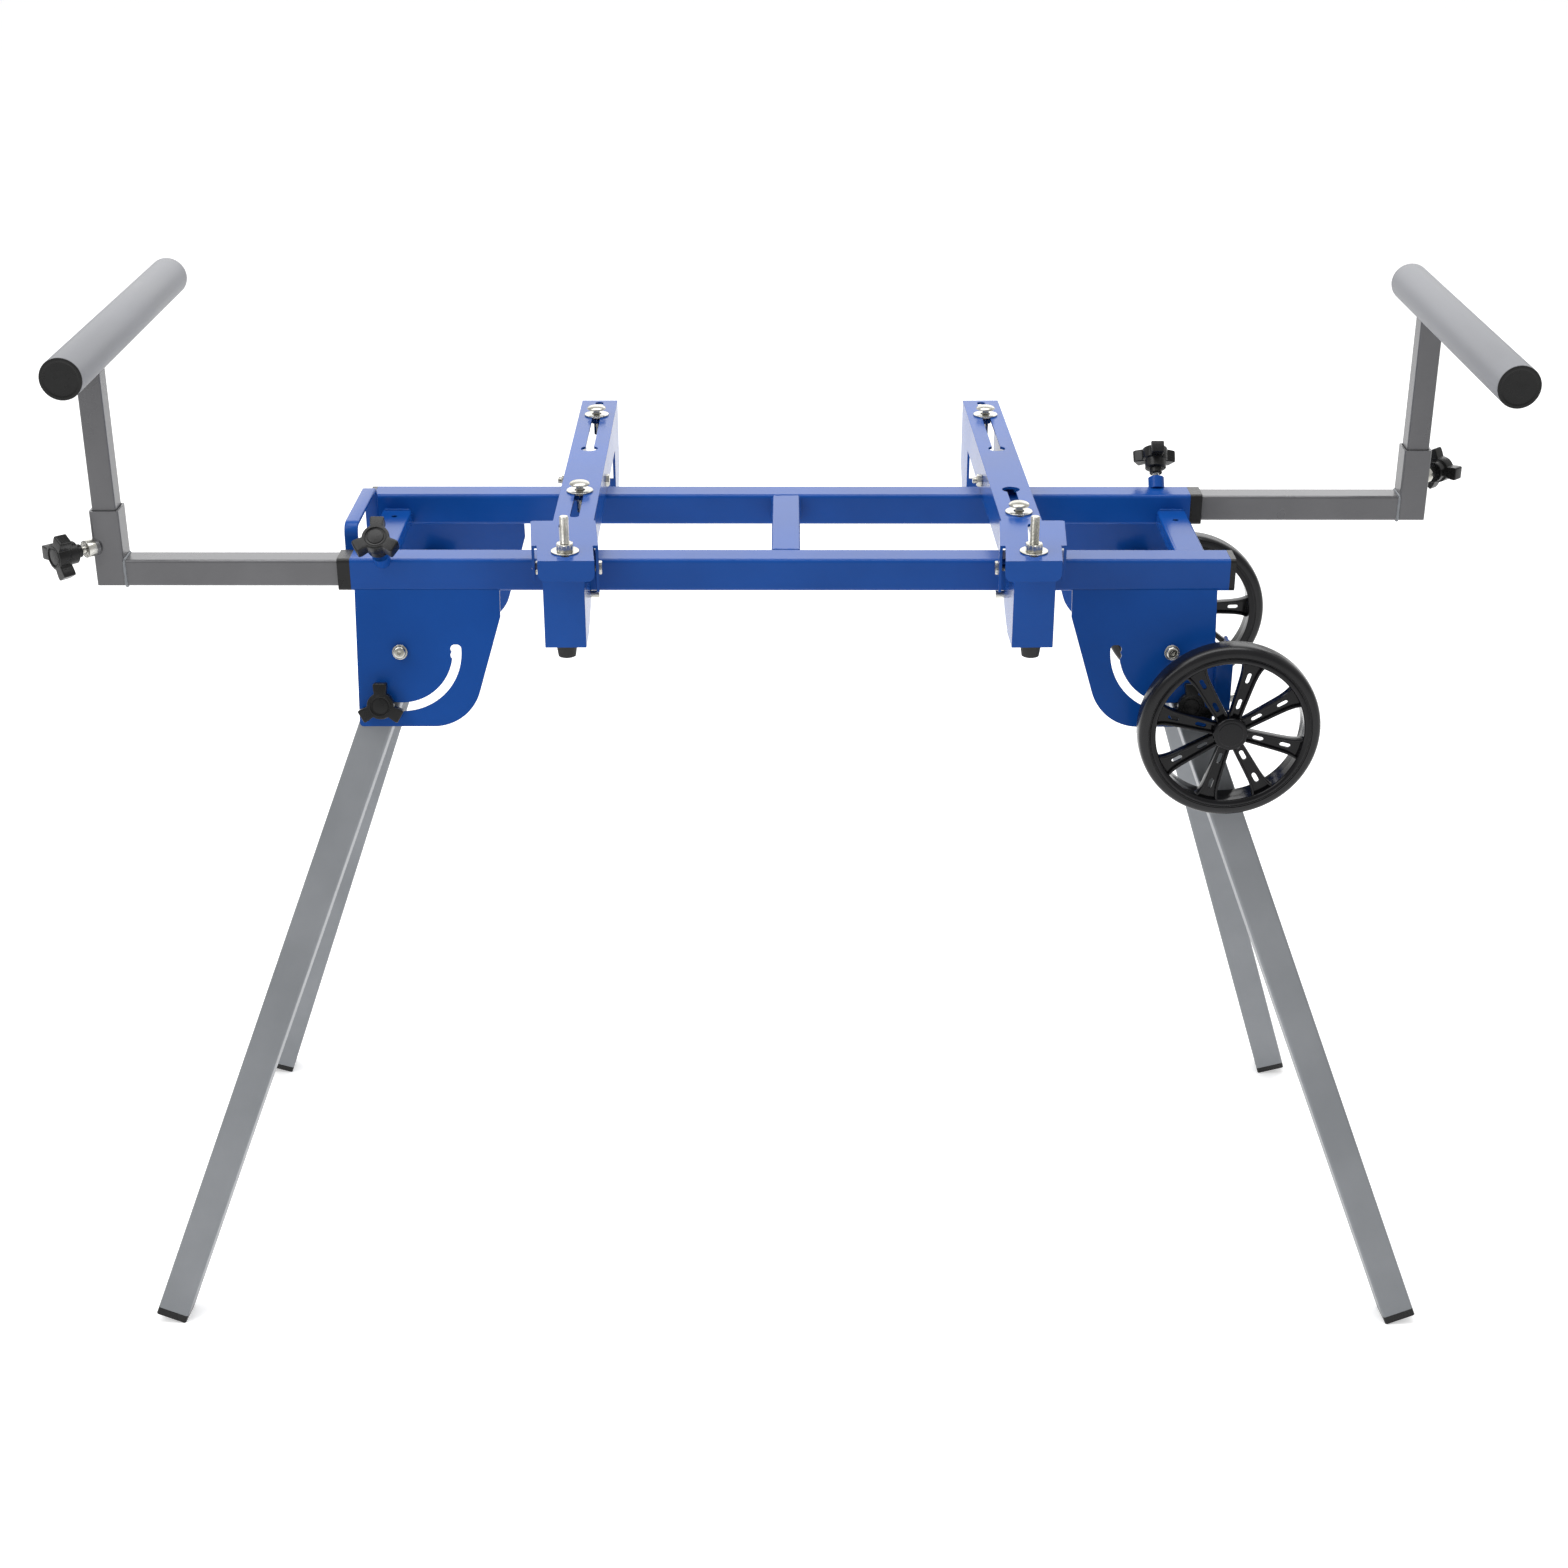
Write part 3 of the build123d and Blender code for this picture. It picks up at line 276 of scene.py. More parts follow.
def lathe(profile, steps, origin, across, up):
    # (radius, height) profile turned round the up axis: x = r cos t, y = r sin t, z = h
    profile = np.array(profile, float)
    t = np.linspace(0, 2 * np.pi, steps, endpoint=False)
    r, h = profile[:, 0:1], profile[:, 1:2]
    grid = np.stack([r * np.cos(t), r * np.sin(t), h + 0 * t], -1)
    return surface(placed(grid, origin, across, up))


def ring(loop, steps, origin, across, up):
    # closed (radius, height) loop turned round the up axis, as in lathe, and joined up in both ways
    t = np.linspace(0, 2 * np.pi, steps, endpoint=False)
    r, h = loop[:, 0:1], loop[:, 1:2]
    grid = np.stack([r * np.cos(t), r * np.sin(t), h + 0 * t], -1)
    return surface(placed(grid, origin, across, up), wrapRows=True)


def turnedRows(t, rows):
    # one row per (radius, height) pair, where either may change with the angle t: x = r cos t, y = r sin t, z = h
    return np.stack([np.stack([r * np.cos(t), r * np.sin(t), h + 0 * t], -1) for r, h in rows])


def rounded(points, radius, steps=4, closed=False):
    # polyline with its inner corners replaced by arcs: each arc is a quadratic through the corner's two cut points
    points = [np.array(p, float) for p in points]
    out = []
    last = len(points) - 1
    for i, p in enumerate(points):
        if not closed and i in (0, last):
            out.append(p)
            continue
        a, b = points[i - 1] - p, points[(i + 1) % len(points)] - p
        cut = min(radius, np.linalg.norm(a) * 0.49, np.linalg.norm(b) * 0.49)
        a, b = a / np.linalg.norm(a) * cut, b / np.linalg.norm(b) * cut
        for s in np.linspace(0, 1, steps):
            out.append(p + a * (1 - s) ** 2 + b * s ** 2)
    return np.array(out)


def sweep(section, path, sideways, lift, capStart=True, capEnd=True):
    # each section point (a, b) is carried along the path: place = path + a * sideways + b * lift
    path, sideways, lift = (np.atleast_2d(np.asarray(v, float)) for v in (path, sideways, lift))
    grid = path[:, None] + section[None, :, 0:1] * sideways[:, None] + section[None, :, 1:2] * lift[:, None]
    return surface(grid, capStart=capStart, capEnd=capEnd)


def roundBox(width, height, radius, steps=4):
    # rounded rectangle about its middle: a quarter circle at each corner
    turn = np.linspace(0, np.pi / 2, steps)
    out = []
    for k, (sx, sy) in enumerate(((1, 1), (-1, 1), (-1, -1), (1, -1))):
        a = turn + k * np.pi / 2
        out.append(np.stack([sx * (width / 2 - radius) + radius * np.cos(a),
                             sy * (height / 2 - radius) + radius * np.sin(a)], -1))
    return np.vstack(out)


wheelParts = {"radius": 0.1, "half": 0.015, "seat": 0.087, "bandIn": 0.081, "hub": 0.015, "cap": 0.019,
              "bore": 0.0062, "hubBack": -0.0135, "hubFront": 0.0140, "hubCollar": 0.0025, "spokes": 8,
              "firstTurns": {"front": 30.6, "rear": -1.5}, "ribIn": 0.0050, "ribOut": 0.0078, "flare": 0.0042,
              "rib": 0.0027, "ribBack": 0.0015, "ribFront": 0.0125, "webBack": 0.006, "webFront": 0.0085,
              "windows": (0.28, 0.74), "windowLong": 0.0125, "windowWide": 0.0046, "crown": 0.0102, "blunt": 3.2,
              "capBack": 0.0152, "capFront": 0.0193, "soft": 0.0009}


def tyreParts(centre, outwards):
    # closed profile turned round the axle: crowned tread, round shoulders, a bead line near the rim
    half, top = wheelParts["half"], wheelParts["radius"]
    t = np.linspace(-1, 1, 25)
    fall = wheelParts["crown"] * np.abs(t) ** wheelParts["blunt"]
    tread = np.stack([top - fall, half * np.sin(t * np.pi / 2)], -1)
    foot = wheelParts["seat"]
    side = np.array([(foot + 0.0028, half), (foot + 0.0024, half - 0.0009), (foot + 0.0016, half - 0.0009),
                     (foot + 0.0010, half - 0.0002), (foot, half - 0.0006)])
    back = side[::-1] * (1, -1)
    return [ring(np.vstack([tread, side, back]), 160, centre, (1, 0, 0), outwards)]


def webStrip(r0, r1, v0, v1, low, high, bowStart, bowEnd):
    # slab between two ribs: u runs outwards, v across; bowed ends follow a half circle round a window
    v = np.linspace(-1, 1, 9)
    bow = np.sqrt(np.clip(1 - v ** 2, 0, 1)) * (v1 - v0) / 2
    across = v0 + (v + 1) / 2 * (v1 - v0)
    rows = []
    for s in (0, 1):
        reach = (r0 - bow * bowStart) * (1 - s) + (r1 + bow * bowEnd) * s
        top = np.stack([reach, across, high + 0 * v], -1)
        under = np.stack([reach, across, low + 0 * v], -1)[::-1]
        rows.append(np.vstack([top, under]))
    grid = np.array(rows)
    points, faces = surface(grid)
    k = len(v)
    for row, flip in ((0, 1), (1, -1)):
        first = row * 2 * k
        last = first + 2 * k - 1
        faces += [[first + i, first + i + 1, last - 1 - i, last - i][::flip] for i in range(k - 1)]
    return points, faces


def rimParts(centre, outwards, firstTurn):
    # turned band and hub; each spoke is a pair of ribs that flare as a power of their run, with a pierced web
    w = wheelParts
    half = w["half"]
    band = rounded([(w["bandIn"], -half), (w["seat"], -half), (w["seat"], half + 0.0004),
                    (w["seat"] - 0.0022, half + 0.0009), (w["bandIn"] + 0.0012, half - 0.0004),
                    (w["bandIn"], half - 0.0022), (w["bandIn"] + 0.0006, 0.0)], w["soft"], closed=True)
    parts = [ring(band, 128, centre, (1, 0, 0), outwards)]
    collar = w["hub"] + w["hubCollar"]
    hub = rounded([(w["bore"], w["hubBack"]), (w["hub"], w["hubBack"]), (w["hub"], w["webBack"]),
                   (collar, w["webFront"]), (collar, w["hubFront"]), (w["bore"], w["hubFront"])], w["soft"],
                  closed=True)
    parts.append(ring(hub, 128, centre, (1, 0, 0), outwards))
    start, stop = w["hub"] - 0.001, w["bandIn"] + 0.001
    s = np.linspace(0, 1, 22)
    run = start + (stop - start) * s
    offset = w["ribIn"] + (w["ribOut"] - w["ribIn"]) * s + w["flare"] * s ** 9
    deep = w["ribFront"] - w["ribBack"]
    section = roundBox(w["rib"], deep, w["soft"])
    middle = (w["ribFront"] + w["ribBack"]) / 2
    inner = w["windowWide"] / 2
    for k in range(w["spokes"]):
        turn = math.radians(firstTurn + 360 * k / w["spokes"])
        spoke = []
        for side in (-1, 1):
            path = np.stack([run, side * offset, middle + 0 * run], -1)
            spoke.append(sweep(section, path, (0, 1, 0), (0, 0, 1)))
            outer = (offset - w["rib"] * 0.3)
            strip = []
            for edge, level in ((inner, "webFront"), (None, "webFront"), (None, "webBack"), (inner, "webBack")):
                v = outer if edge is None else np.full(len(outer), inner)
                strip.append(np.stack([run, side * v, np.full(len(outer), w[level])], -1))
            spoke.append(surface(np.stack(strip, 1), capStart=True, capEnd=True))
        stops = [start]
        for share in w["windows"]:
            middleR = start + (stop - start) * share
            stops += [middleR - w["windowLong"] / 2 + inner, middleR + w["windowLong"] / 2 - inner]
        stops.append(stop)
        for i in range(0, len(stops), 2):
            spoke.append(webStrip(stops[i], stops[i + 1], -inner, inner, w["webBack"], w["webFront"],
                                  -0.0 if i == 0 else -1.0, 0.0 if i == len(stops) - 2 else -1.0))
        c, n = math.cos(turn), math.sin(turn)
        for points, faces in spoke:
            points = points @ np.array([[c, n, 0], [-n, c, 0], [0, 0, 1]])
            parts.append((placed(points, centre, (1, 0, 0), outwards), faces))
    return parts


def capParts(centre, outwards):
    # flat disc with a rolled edge and a shallow ring
    r, back, front = wheelParts["cap"], wheelParts["capBack"], wheelParts["capFront"]
    profile = rounded([(0.0001, front), (r - 0.0055, front), (r - 0.0050, front - 0.0005),
                       (r - 0.0030, front - 0.0005), (r - 0.0012, front - 0.0009), (r, front - 0.0025),
                       (r, back), (0.0001, back)], 0.0007)
    return [lathe(profile, 96, centre, (1, 0, 0), outwards)]


def makeWheels():
    # each wheel is built about the middle of its tyre's solid
    for name, side in (("front", -1), ("rear", 1)):
        turn = wheelParts["firstTurns"][name]
        low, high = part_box("tyre_" + name)
        centre = (np.array(low) + np.array(high)) / 2
        outwards = (0, side, 0)
        body = "wheel_" + name
        makePiece("tyreRing_" + name, tyreParts(centre, outwards), paints["tyre_rubber"], body, ["tyre_" + name],
                  40)
        makePiece("spokedRim_" + name, rimParts(centre, outwards, turn), paints["rimGloss"], body,
                  ["wheel_" + name], 40)
        makePiece("hubDisc_" + name, capParts(centre, outwards), paints["rimGloss"], body, ["hub_cap_" + name],
                  40)
    print("wheels made")


def hexRadius(t, flats):
    # distance to a hexagon's side at each angle: half the width over flats, over the cosine within a sixth
    return flats / 2 / np.cos((t + np.pi / 6) % (np.pi / 3) - np.pi / 6)


def hexNut(origin, axis, across, flats, high, bore):
    # rows run up the outside and back down the bore; each rim is cut back to a circle to show the chamfer
    t = np.linspace(0, 2 * np.pi, 96, endpoint=False)
    r = hexRadius(t, flats)
    cut = np.minimum(r, flats / 2 * 1.03)
    drop = (r - cut) * 0.58
    rows = [(bore + 0 * t, 0 * t), (cut * 0.98, 0 * t), (cut, 0.0001 + 0 * t), (r, drop + 0.0002),
            (r, high - drop - 0.0002), (cut, high - 0.0001 + 0 * t), (cut * 0.98, high + 0 * t),
            (bore + 0.0006 + 0 * t, high + 0 * t), (bore + 0 * t, high - 0.0006 + 0 * t)]
    return surface(placed(turnedRows(t, rows), origin, across, axis), wrapRows=True)


def hexHead(origin, axis, across, flats, high):
    # six sides up to a top whose corners are cut back to a circle
    t = np.linspace(0, 2 * np.pi, 96, endpoint=False)
    r = hexRadius(t, flats)
    cut = np.minimum(r, flats / 2 * 1.03)
    drop = (r - cut) * 0.58
    rows = [(0.0001 + 0 * t, 0 * t), (r, 0 * t), (r, high - drop - 0.0003), (cut, high - 0.0001 + 0 * t),
            (cut * 0.97, high + 0 * t), (0.0001 + 0 * t, high + 0 * t)]
    return surface(placed(turnedRows(t, rows), origin, across, axis), capStart=True, capEnd=True)


def washer(origin, axis, across, outer, inner, high):
    # flat ring with its four rims softened
    loop = rounded([(inner, 0), (outer, 0), (outer, high), (inner, high)], high * 0.3, closed=True)
    return ring(loop, 72, origin, across, axis)


def thread(origin, axis, across, radius, low, high, pitch):
    # radius by angle and height: a 60 degree groove that climbs one pitch each turn, ends tapered
    t = np.linspace(0, 2 * np.pi, 28, endpoint=False)
    z = np.linspace(low, high, max(8, int((high - low) / pitch * 6)))[:, None]
    phase = (z / pitch - t / (2 * np.pi)) % 1.0
    depth = pitch * 0.52
    r = radius - depth * np.abs(phase - 0.5) * 2 * 0.9
    r = np.minimum(r, radius - 0.0008 + (high - z) * 0.9)
    grid = np.stack([r * np.cos(t), r * np.sin(t), z + 0 * t], -1)
    return surface(placed(grid, origin, across, axis), capStart=True, capEnd=True)


def dome(origin, axis, across, radius, low, high):
    # shallow carriage-bolt head: quarter ellipse from a thin rim to the crown
    a = np.linspace(0, np.pi / 2, 12)
    profile = [(0.0001, low), (radius - 0.0004, low), (radius, low + 0.0005)]
    profile += [(radius * math.cos(x), low + 0.0009 + (high - low - 0.0009) * math.sin(x)) for x in a[:-1]]
    profile += [(0.0001, high)]
    return lathe(profile, 72, origin, across, axis)


def squareNeck(origin, axis, across, side, low, high):
    # rounded square carried straight along the bolt
    section = roundBox(side, side, side * 0.12)
    path = np.array([(0, 0, low), (0, 0, high)], float)
    points, faces = sweep(section, path, (1, 0, 0), (0, 1, 0))
    return placed(points, origin, across, axis), faces


knobParts = {"tip": 0.0255, "core": 0.0150, "armIn": 0.0065, "armOut": 0.0082, "edge": 0.0016, "ringOut": 0.0122,
             "ringIn": 0.0108, "dish": 0.0010, "stud": 0.00395, "pitch": 0.00125}
leg = {"head": 0.0110, "steps": ((0.0085, 0.0055),)}
clamp = {"head": 0.0140, "steps": ((0.0075, 0.0067), (0.0125, 0.0111))}


def knobOutline(steps):
    # radius by angle: a core circle with three arms whose sides widen outwards, smoothed over a few steps
    k = knobParts
    t = np.linspace(0, 2 * np.pi, steps, endpoint=False)
    arm = (t + np.pi / 3) % (2 * np.pi / 3) - np.pi / 3
    halfTip = math.atan2(k["armOut"], k["tip"])
    halfRoot = math.asin(k["armIn"] / k["core"])
    reach = np.linspace(0, 1, 60)
    alongSide = k["core"] * np.cos(halfRoot) + (k["tip"] - k["core"] * np.cos(halfRoot)) * reach
    acrossSide = k["armIn"] + (k["armOut"] - k["armIn"]) * reach
    sideTurn = np.arctan2(acrossSide, alongSide)
    sideRadius = np.hypot(alongSide, acrossSide)
    order = np.argsort(sideTurn)
    flank = np.interp(np.abs(arm), sideTurn[order], sideRadius[order])
    tip = k["tip"] / np.cos(arm)
    r = np.where(np.abs(arm) < halfTip, tip, np.where(np.abs(arm) < halfRoot, flank, k["core"]))
    soft = np.exp(-0.5 * (np.arange(-5, 6) / 1.8) ** 2)
    soft = soft / soft.sum()
    return t, np.convolve(np.concatenate([r[-5:], r, r[:5]]), soft, "valid")


def knobShape(origin, axis, across, low, top, values):
    # rows climb the stepped neck, run under the arms, over the rounded rim and down into the dished middle
    k = knobParts
    t, r = knobOutline(300)
    edge = k["edge"]
    turn = np.linspace(0, np.pi / 2, 5)
    under = top - values["head"]
    height = under - sum(step[1] for step in values["steps"])
    rows = [(k["stud"] + 0 * r, height + 0 * r)]
    neckLow = height
    for radius, length in values["steps"]:
        rows += [(radius - 0.0005 + 0 * r, height + 0 * r), (radius + 0 * r, height + 0.0005 + 0 * r),
                 (radius + 0 * r, height + length - 0.0003 + 0 * r)]
        height += length
    lower = edge * 0.6
    rows += [(r - lower * (1 - math.sin(a)) - 0.0003, under + lower * (1 - math.cos(a)) + 0 * r) for a in turn]
    rows += [(r - edge * (1 - math.cos(a)), top - edge * (1 - math.sin(a)) + 0 * r) for a in turn]
    rows += [(np.minimum(r - edge * 1.4, 0.0135), top + 0 * r)]
    for radius, lift in ((k["ringOut"], 0.0), (k["ringOut"] - 0.0003, 0.0006), (k["ringIn"] + 0.0003, 0.0006),
                         (k["ringIn"], -0.0007), (k["ringIn"] - 0.0016, -0.0009), (k["ringIn"] - 0.0022, -0.0002),
                         (0.0045, 0.0001), (0.0001, 0.0002)):
        rows.append((radius + 0 * r, top + lift + 0 * r))
    head = surface(placed(turnedRows(t, rows), origin, across, axis), capEnd=True)
    return [head, thread(origin, axis, across, k["stud"], low, neckLow + 0.001, k["pitch"])]


def knobFrame(node, joint):
    # the node's points measured along its turning axis; the arms' direction is the mean of 3 times their angle
    mesh = nodes[node].data
    points = np.empty(len(mesh.vertices) * 3)
    mesh.vertices.foreach_get("co", points)
    origin = np.array(joints[joint]["pos_m"])
    axis = np.array(joints[joint]["axis"])
    axis = axis / np.linalg.norm(axis)
    away = points.reshape(-1, 3) - origin
    high = away @ axis
    across = np.cross(axis, (0, 0, 1))
    across = across / np.linalg.norm(across)
    side = np.cross(axis, across)
    flat = np.stack([away @ across, away @ side], -1)
    tips = np.hypot(flat[:, 0], flat[:, 1]) > 0.0255
    turn = np.arctan2(flat[tips, 1], flat[tips, 0])
    first = np.angle(np.exp(3j * turn).sum()) / 3
    return origin, axis, across * math.cos(first) + side * math.sin(first), high.min(), high.max()


def makeKnobs():
    # each knob is fitted to its solid's place, axis, height and turn
    names = [("leg_knob_" + corner, leg) for corner in ("front_left", "front_right", "rear_left", "rear_right")]
    names += [(kind + "_knob_" + side, clamp) for kind in ("rail", "socket") for side in ("left", "right")]
    for name, values in names:
        origin, axis, across, low, top = knobFrame(name, "turn_" + name)
        head, stud = knobShape(origin, axis, across, low, top, values)
        makePiece("armed_" + name, [head], paints["black_plastic"], name, [name], 38)
        makePiece("stud_" + name, [stud], paints["zinc_steel"], name, [], 50)
    print("knobs made")


bracketParts = {"top": 0.9375, "sheet": 0.003, "shiftY": -0.030536, "flats": 0.013, "nut": 0.0065, "bolt": 0.004,
                "pitch": 0.00125, "barX": 0.02225, "farY": 0.294, "frontY": -0.225, "wide": 0.015,
                "wideBore": 0.0058, "wideHigh": 0.002, "washHigh": 0.0016, "dome": 0.0115, "domeHigh": 0.005,
                "neck": 0.008, "neckHigh": 0.006, "down": 0.024, "up": 0.039, "headHigh": 0.005, "stud": 0.005,
                "studCore": 0.0045, "studPitch": 0.0015, "studFlats": 0.017, "studNut": 0.008, "skew": 5.45,
                "start": 0.0019, "plateNear": 0.122, "width": 0.071, "pivotY": 0.180, "pivotZ": 0.904,
                "lowHead": 0.0035, "tail": 0.0048, "catchY": 0.092, "catchZ": 0.9165, "barWide": 0.0445,
                "sideHead": 0.0045}
nutBite = 0.0003  # a nut's bore is this much inside the thread's crest
bracketSides = {"left": {"place": -0.2110, "turn": 0.65, "side": -1, "nearY": -0.017},
                "right": {"place": 0.2324, "turn": 1.2, "side": 1, "nearY": -0.093}}


def skewX(y, across):
    # the front plates run off to the side in proportion to how far they reach from the bar
    p = bracketParts
    return across - p["start"] + (y + p["plateNear"]) * math.tan(math.radians(p["skew"]))


def bracketFrame(values):
    # the bracket's own (x, y, z) mirrored, turned about Z and moved into the stand, and its crosswise direction
    turn = math.radians(values["turn"])
    c, s = math.cos(turn), math.sin(turn)

    def point(x, y, z):
        x = x * values["side"]
        return np.array([values["place"] + x * c - y * s, x * s + y * c + bracketParts["shiftY"], z])

    return point, np.array([values["side"] * c, values["side"] * s, 0.0])


def carriageBolt(point, way, y):
    # cupped washer, square neck standing in it, shallow dome above, thread and nut below the sheet
    p = bracketParts
    up = (0, 0, 1)
    base = point(p["barX"], y, p["top"])
    under = base - np.array([0, 0, p["sheet"] + p["nut"]])
    seat = p["wideHigh"] + p["neckHigh"]
    return [washer(base, up, way, p["wide"], p["wideBore"], p["wideHigh"]),
            squareNeck(base, up, way, p["neck"], 0.0, seat + 0.0004),
            dome(base, up, way, p["dome"], seat, seat + p["domeHigh"]),
            thread(base, up, way, p["bolt"], -p["down"], 0.0005, p["pitch"]),
            hexNut(under, up, way, p["flats"], p["nut"], p["bolt"] - nutBite)]


def frontBolt(point, way):
    # threaded all the way from the head under the sheet to its chamfered free end
    p = bracketParts
    up = (0, 0, 1)
    base = point(skewX(p["frontY"], p["width"] / 2), p["frontY"], p["top"])
    above = base + np.array([0, 0, p["washHigh"]])
    return [washer(base, up, way, p["wide"], p["stud"], p["washHigh"]),
            hexNut(above, up, way, p["studFlats"], p["studNut"], p["stud"] - nutBite),
            thread(base, up, way, p["stud"], 0.0, p["up"], p["studPitch"]),
            thread(base, up, way, p["studCore"], -p["sheet"] - 0.0005, 0.0005, p["studPitch"]),
            hexHead(base - np.array([0, 0, p["sheet"] + p["headHigh"]]), up, way, p["studFlats"], p["headHigh"])]


def sideBolts(point, way, side):
    # lever pivot through the front plate and the catch bolt through the bar
    p = bracketParts
    rock = p["flats"] / 2 * math.tan(math.radians(p["skew"]))
    inner = skewX(-p["pivotY"], 0) - rock
    outer = skewX(-p["pivotY"], p["width"])
    nutStart = skewX(-p["pivotY"], p["width"] - p["sheet"]) - rock - p["nut"]
    up = (0, 0, 1)
    start = point(inner, -p["pivotY"], p["pivotZ"])
    parts = [thread(start, way, up, p["bolt"], 0.0, outer - inner, p["pitch"]),
             hexHead(start, -way, up, p["flats"], p["lowHead"]),
             hexNut(start + way * (nutStart - inner), way, up, p["flats"], p["nut"], p["bolt"] - nutBite)]
    head = p["barWide"] if side > 0 else 0.0
    toHead = way if side > 0 else -way
    seat = point(head, p["catchY"], p["catchZ"])
    parts += [hexHead(seat, toHead, up, p["flats"], p["sideHead"]),
              thread(seat, -toHead, up, p["bolt"], -0.0005, p["barWide"] + p["nut"] + p["tail"], p["pitch"]),
              hexNut(seat - toHead * p["barWide"], -toHead, up, p["flats"], p["nut"], p["bolt"] - nutBite)]
    return parts


def makeBracketBolts():
    for name, values in bracketSides.items():
        point, way = bracketFrame(values)
        parts = carriageBolt(point, way, bracketParts["farY"]) + carriageBolt(point, way, values["nearY"])
        parts += frontBolt(point, way) + sideBolts(point, way, values["side"])
        makePiece("threadedBolts_" + name, parts, paints["zinc_steel"], "bracket_" + name,
                  ["bracket_bolts_" + name], 30)
    print("bracket bolts made")


pivotParts = {"plate": 0.0031, "washer": 0.0084, "washHigh": 0.0016, "head": 0.0069, "high": 0.005,
              "round": 0.0026, "socket": 0.0045, "deep": 0.0026, "shank": 0.005, "pitch": 0.0015, "leg": 0.0365,
              "nut": 0.016, "nutHigh": 0.0065, "bite": 0.0004}


def pivotBoltParts(origin, axis):
    # button head: the rows fall from the rim over a quarter round, then down a six-sided socket
    p = pivotParts
    across = np.array([1.0, 0.0, 0.0])
    t = np.linspace(0, 2 * np.pi, 96, endpoint=False)
    six = hexRadius(t, p["socket"])
    low = p["plate"] + p["washHigh"]
    top = low + p["high"]
    turn = np.linspace(0, np.pi / 2, 7)
    rows = [(0.0001 + 0 * t, low + 0 * t), (p["head"] + 0 * t, low + 0 * t),
            (p["head"] + 0 * t, top - p["round"] + 0 * t)]
    rows += [(p["head"] - p["round"] * (1 - math.cos(a)) + 0 * t, top - p["round"] * (1 - math.sin(a)) + 0 * t)
             for a in turn[1:]]
    rows += [(six * 1.04, top + 0 * t), (six, top - 0.0002 + 0 * t), (six, top - p["deep"] + 0 * t),
             (0.0001 + 0 * t, top - p["deep"] - 0.0005 + 0 * t)]
    grid = turnedRows(t, rows)
    back = -p["leg"] - p["washHigh"] - 0.0002
    nutStart = back - p["nutHigh"]
    return [surface(placed(grid, origin, across, axis), capStart=True, capEnd=True),
            washer(origin + axis * p["plate"], axis, across, p["washer"], p["shank"], p["washHigh"]),
            thread(origin, axis, across, p["shank"], nutStart - 0.001, low + 0.0005, p["pitch"]),
            washer(origin + axis * back, axis, across, p["washer"], p["shank"], p["washHigh"]),
            hexNut(origin + axis * nutStart, axis, across, p["nut"], p["nutHigh"], p["shank"] - p["bite"])]


def makePivotBolts():
    parts = []
    for corner in ("front_left", "front_right", "rear_left", "rear_right"):
        axis = np.array(joints["turn_leg_knob_" + corner]["axis"])
        origin = np.array(joints["fold_" + corner]["pos_m"])
        parts += pivotBoltParts(origin, axis / np.linalg.norm(axis))
    makePiece("buttonHeadBolts", parts, paints["zinc_steel"], "frame", ["leg_pivot_bolts"], 30)
    print("pivot bolts made")


supportParts = {"radius": 0.0225, "wall": 0.0015, "flange": 0.0223, "flangeHigh": 0.0011, "stem": 0.0209,
                "deep": 0.009, "dish": 0.0005, "soft": 0.0005}


def makeSupports():
    # tube: closed wall profile turned round its length; plug: stem in the bore, thin flange over the tube's end
    s = supportParts
    for name in ("left", "right"):
        low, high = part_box("support_tube_" + name)
        middle = (np.array(low) + np.array(high)) / 2
        half = (high[1] - low[1]) / 2
        inner = s["radius"] - s["wall"]
        wall = rounded([(inner, -half), (s["radius"], -half), (s["radius"], half), (inner, half)], s["soft"],
                       closed=True)
        makePiece("supportBar_" + name, [ring(wall, 128, middle, (1, 0, 0), (0, 1, 0))], paints["silver_paint"],
                  "post_" + name, ["support_tube_" + name], 40)
        cups = []
        for end in (-1, 1):
            mouth = middle + np.array([0, end * half, 0])
            cup = rounded([(0.0002, -s["deep"]), (s["stem"], -s["deep"]), (s["stem"], 0.0), (s["flange"], 0.0),
                           (s["flange"], s["flangeHigh"]), (s["flange"] - 0.0030, s["flangeHigh"]),
                           (s["flange"] - 0.0045, s["flangeHigh"] - s["dish"]),
                           (0.0002, s["flangeHigh"] - s["dish"] * 0.6)], 0.0006)
            cups.append(lathe(cup, 96, mouth, (1, 0, 0), (0, end, 0)))
        makePiece("tubePlugs_" + name, cups, paints["black_plastic"], "post_" + name, ["support_plugs_" + name],
                  40)
    print("support tubes made")


handleParts = {"thick": 0.005, "round": 0.013}


def makeHandle():
    # one rectangle carried along a bridge-shaped path whose four bends are arcs
    h = handleParts
    low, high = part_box("carry_handle")
    middle = (low[1] + high[1]) / 2
    half = (high[1] - low[1]) / 2 - h["thick"] / 2
    top = high[2] - h["thick"] / 2
    path = rounded([(0, -half, low[2]), (0, -half, top), (0, half, top), (0, half, low[2])], h["round"], 12)
    path = path + np.array([(low[0] + high[0]) / 2, middle, 0])
    step = np.gradient(path, axis=0)
    step = step / np.linalg.norm(step, axis=1)[:, None]
    across = np.tile(np.array([1.0, 0, 0]), (len(path), 1))
    section = roundBox(high[0] - low[0], h["thick"], 0.0012)
    makePiece("bentHandle", [sweep(section, path, across, np.cross(step, across))], paints["blue_paint"], "frame",
              ["carry_handle"], 35)
    print("handle made")


weldParts = {"radius": 0.0022, "thin": 0.0018, "fine": 0.0019, "wave": 0.16, "pitch": 0.0021, "short": 0.002,
             "handle": 0.017}


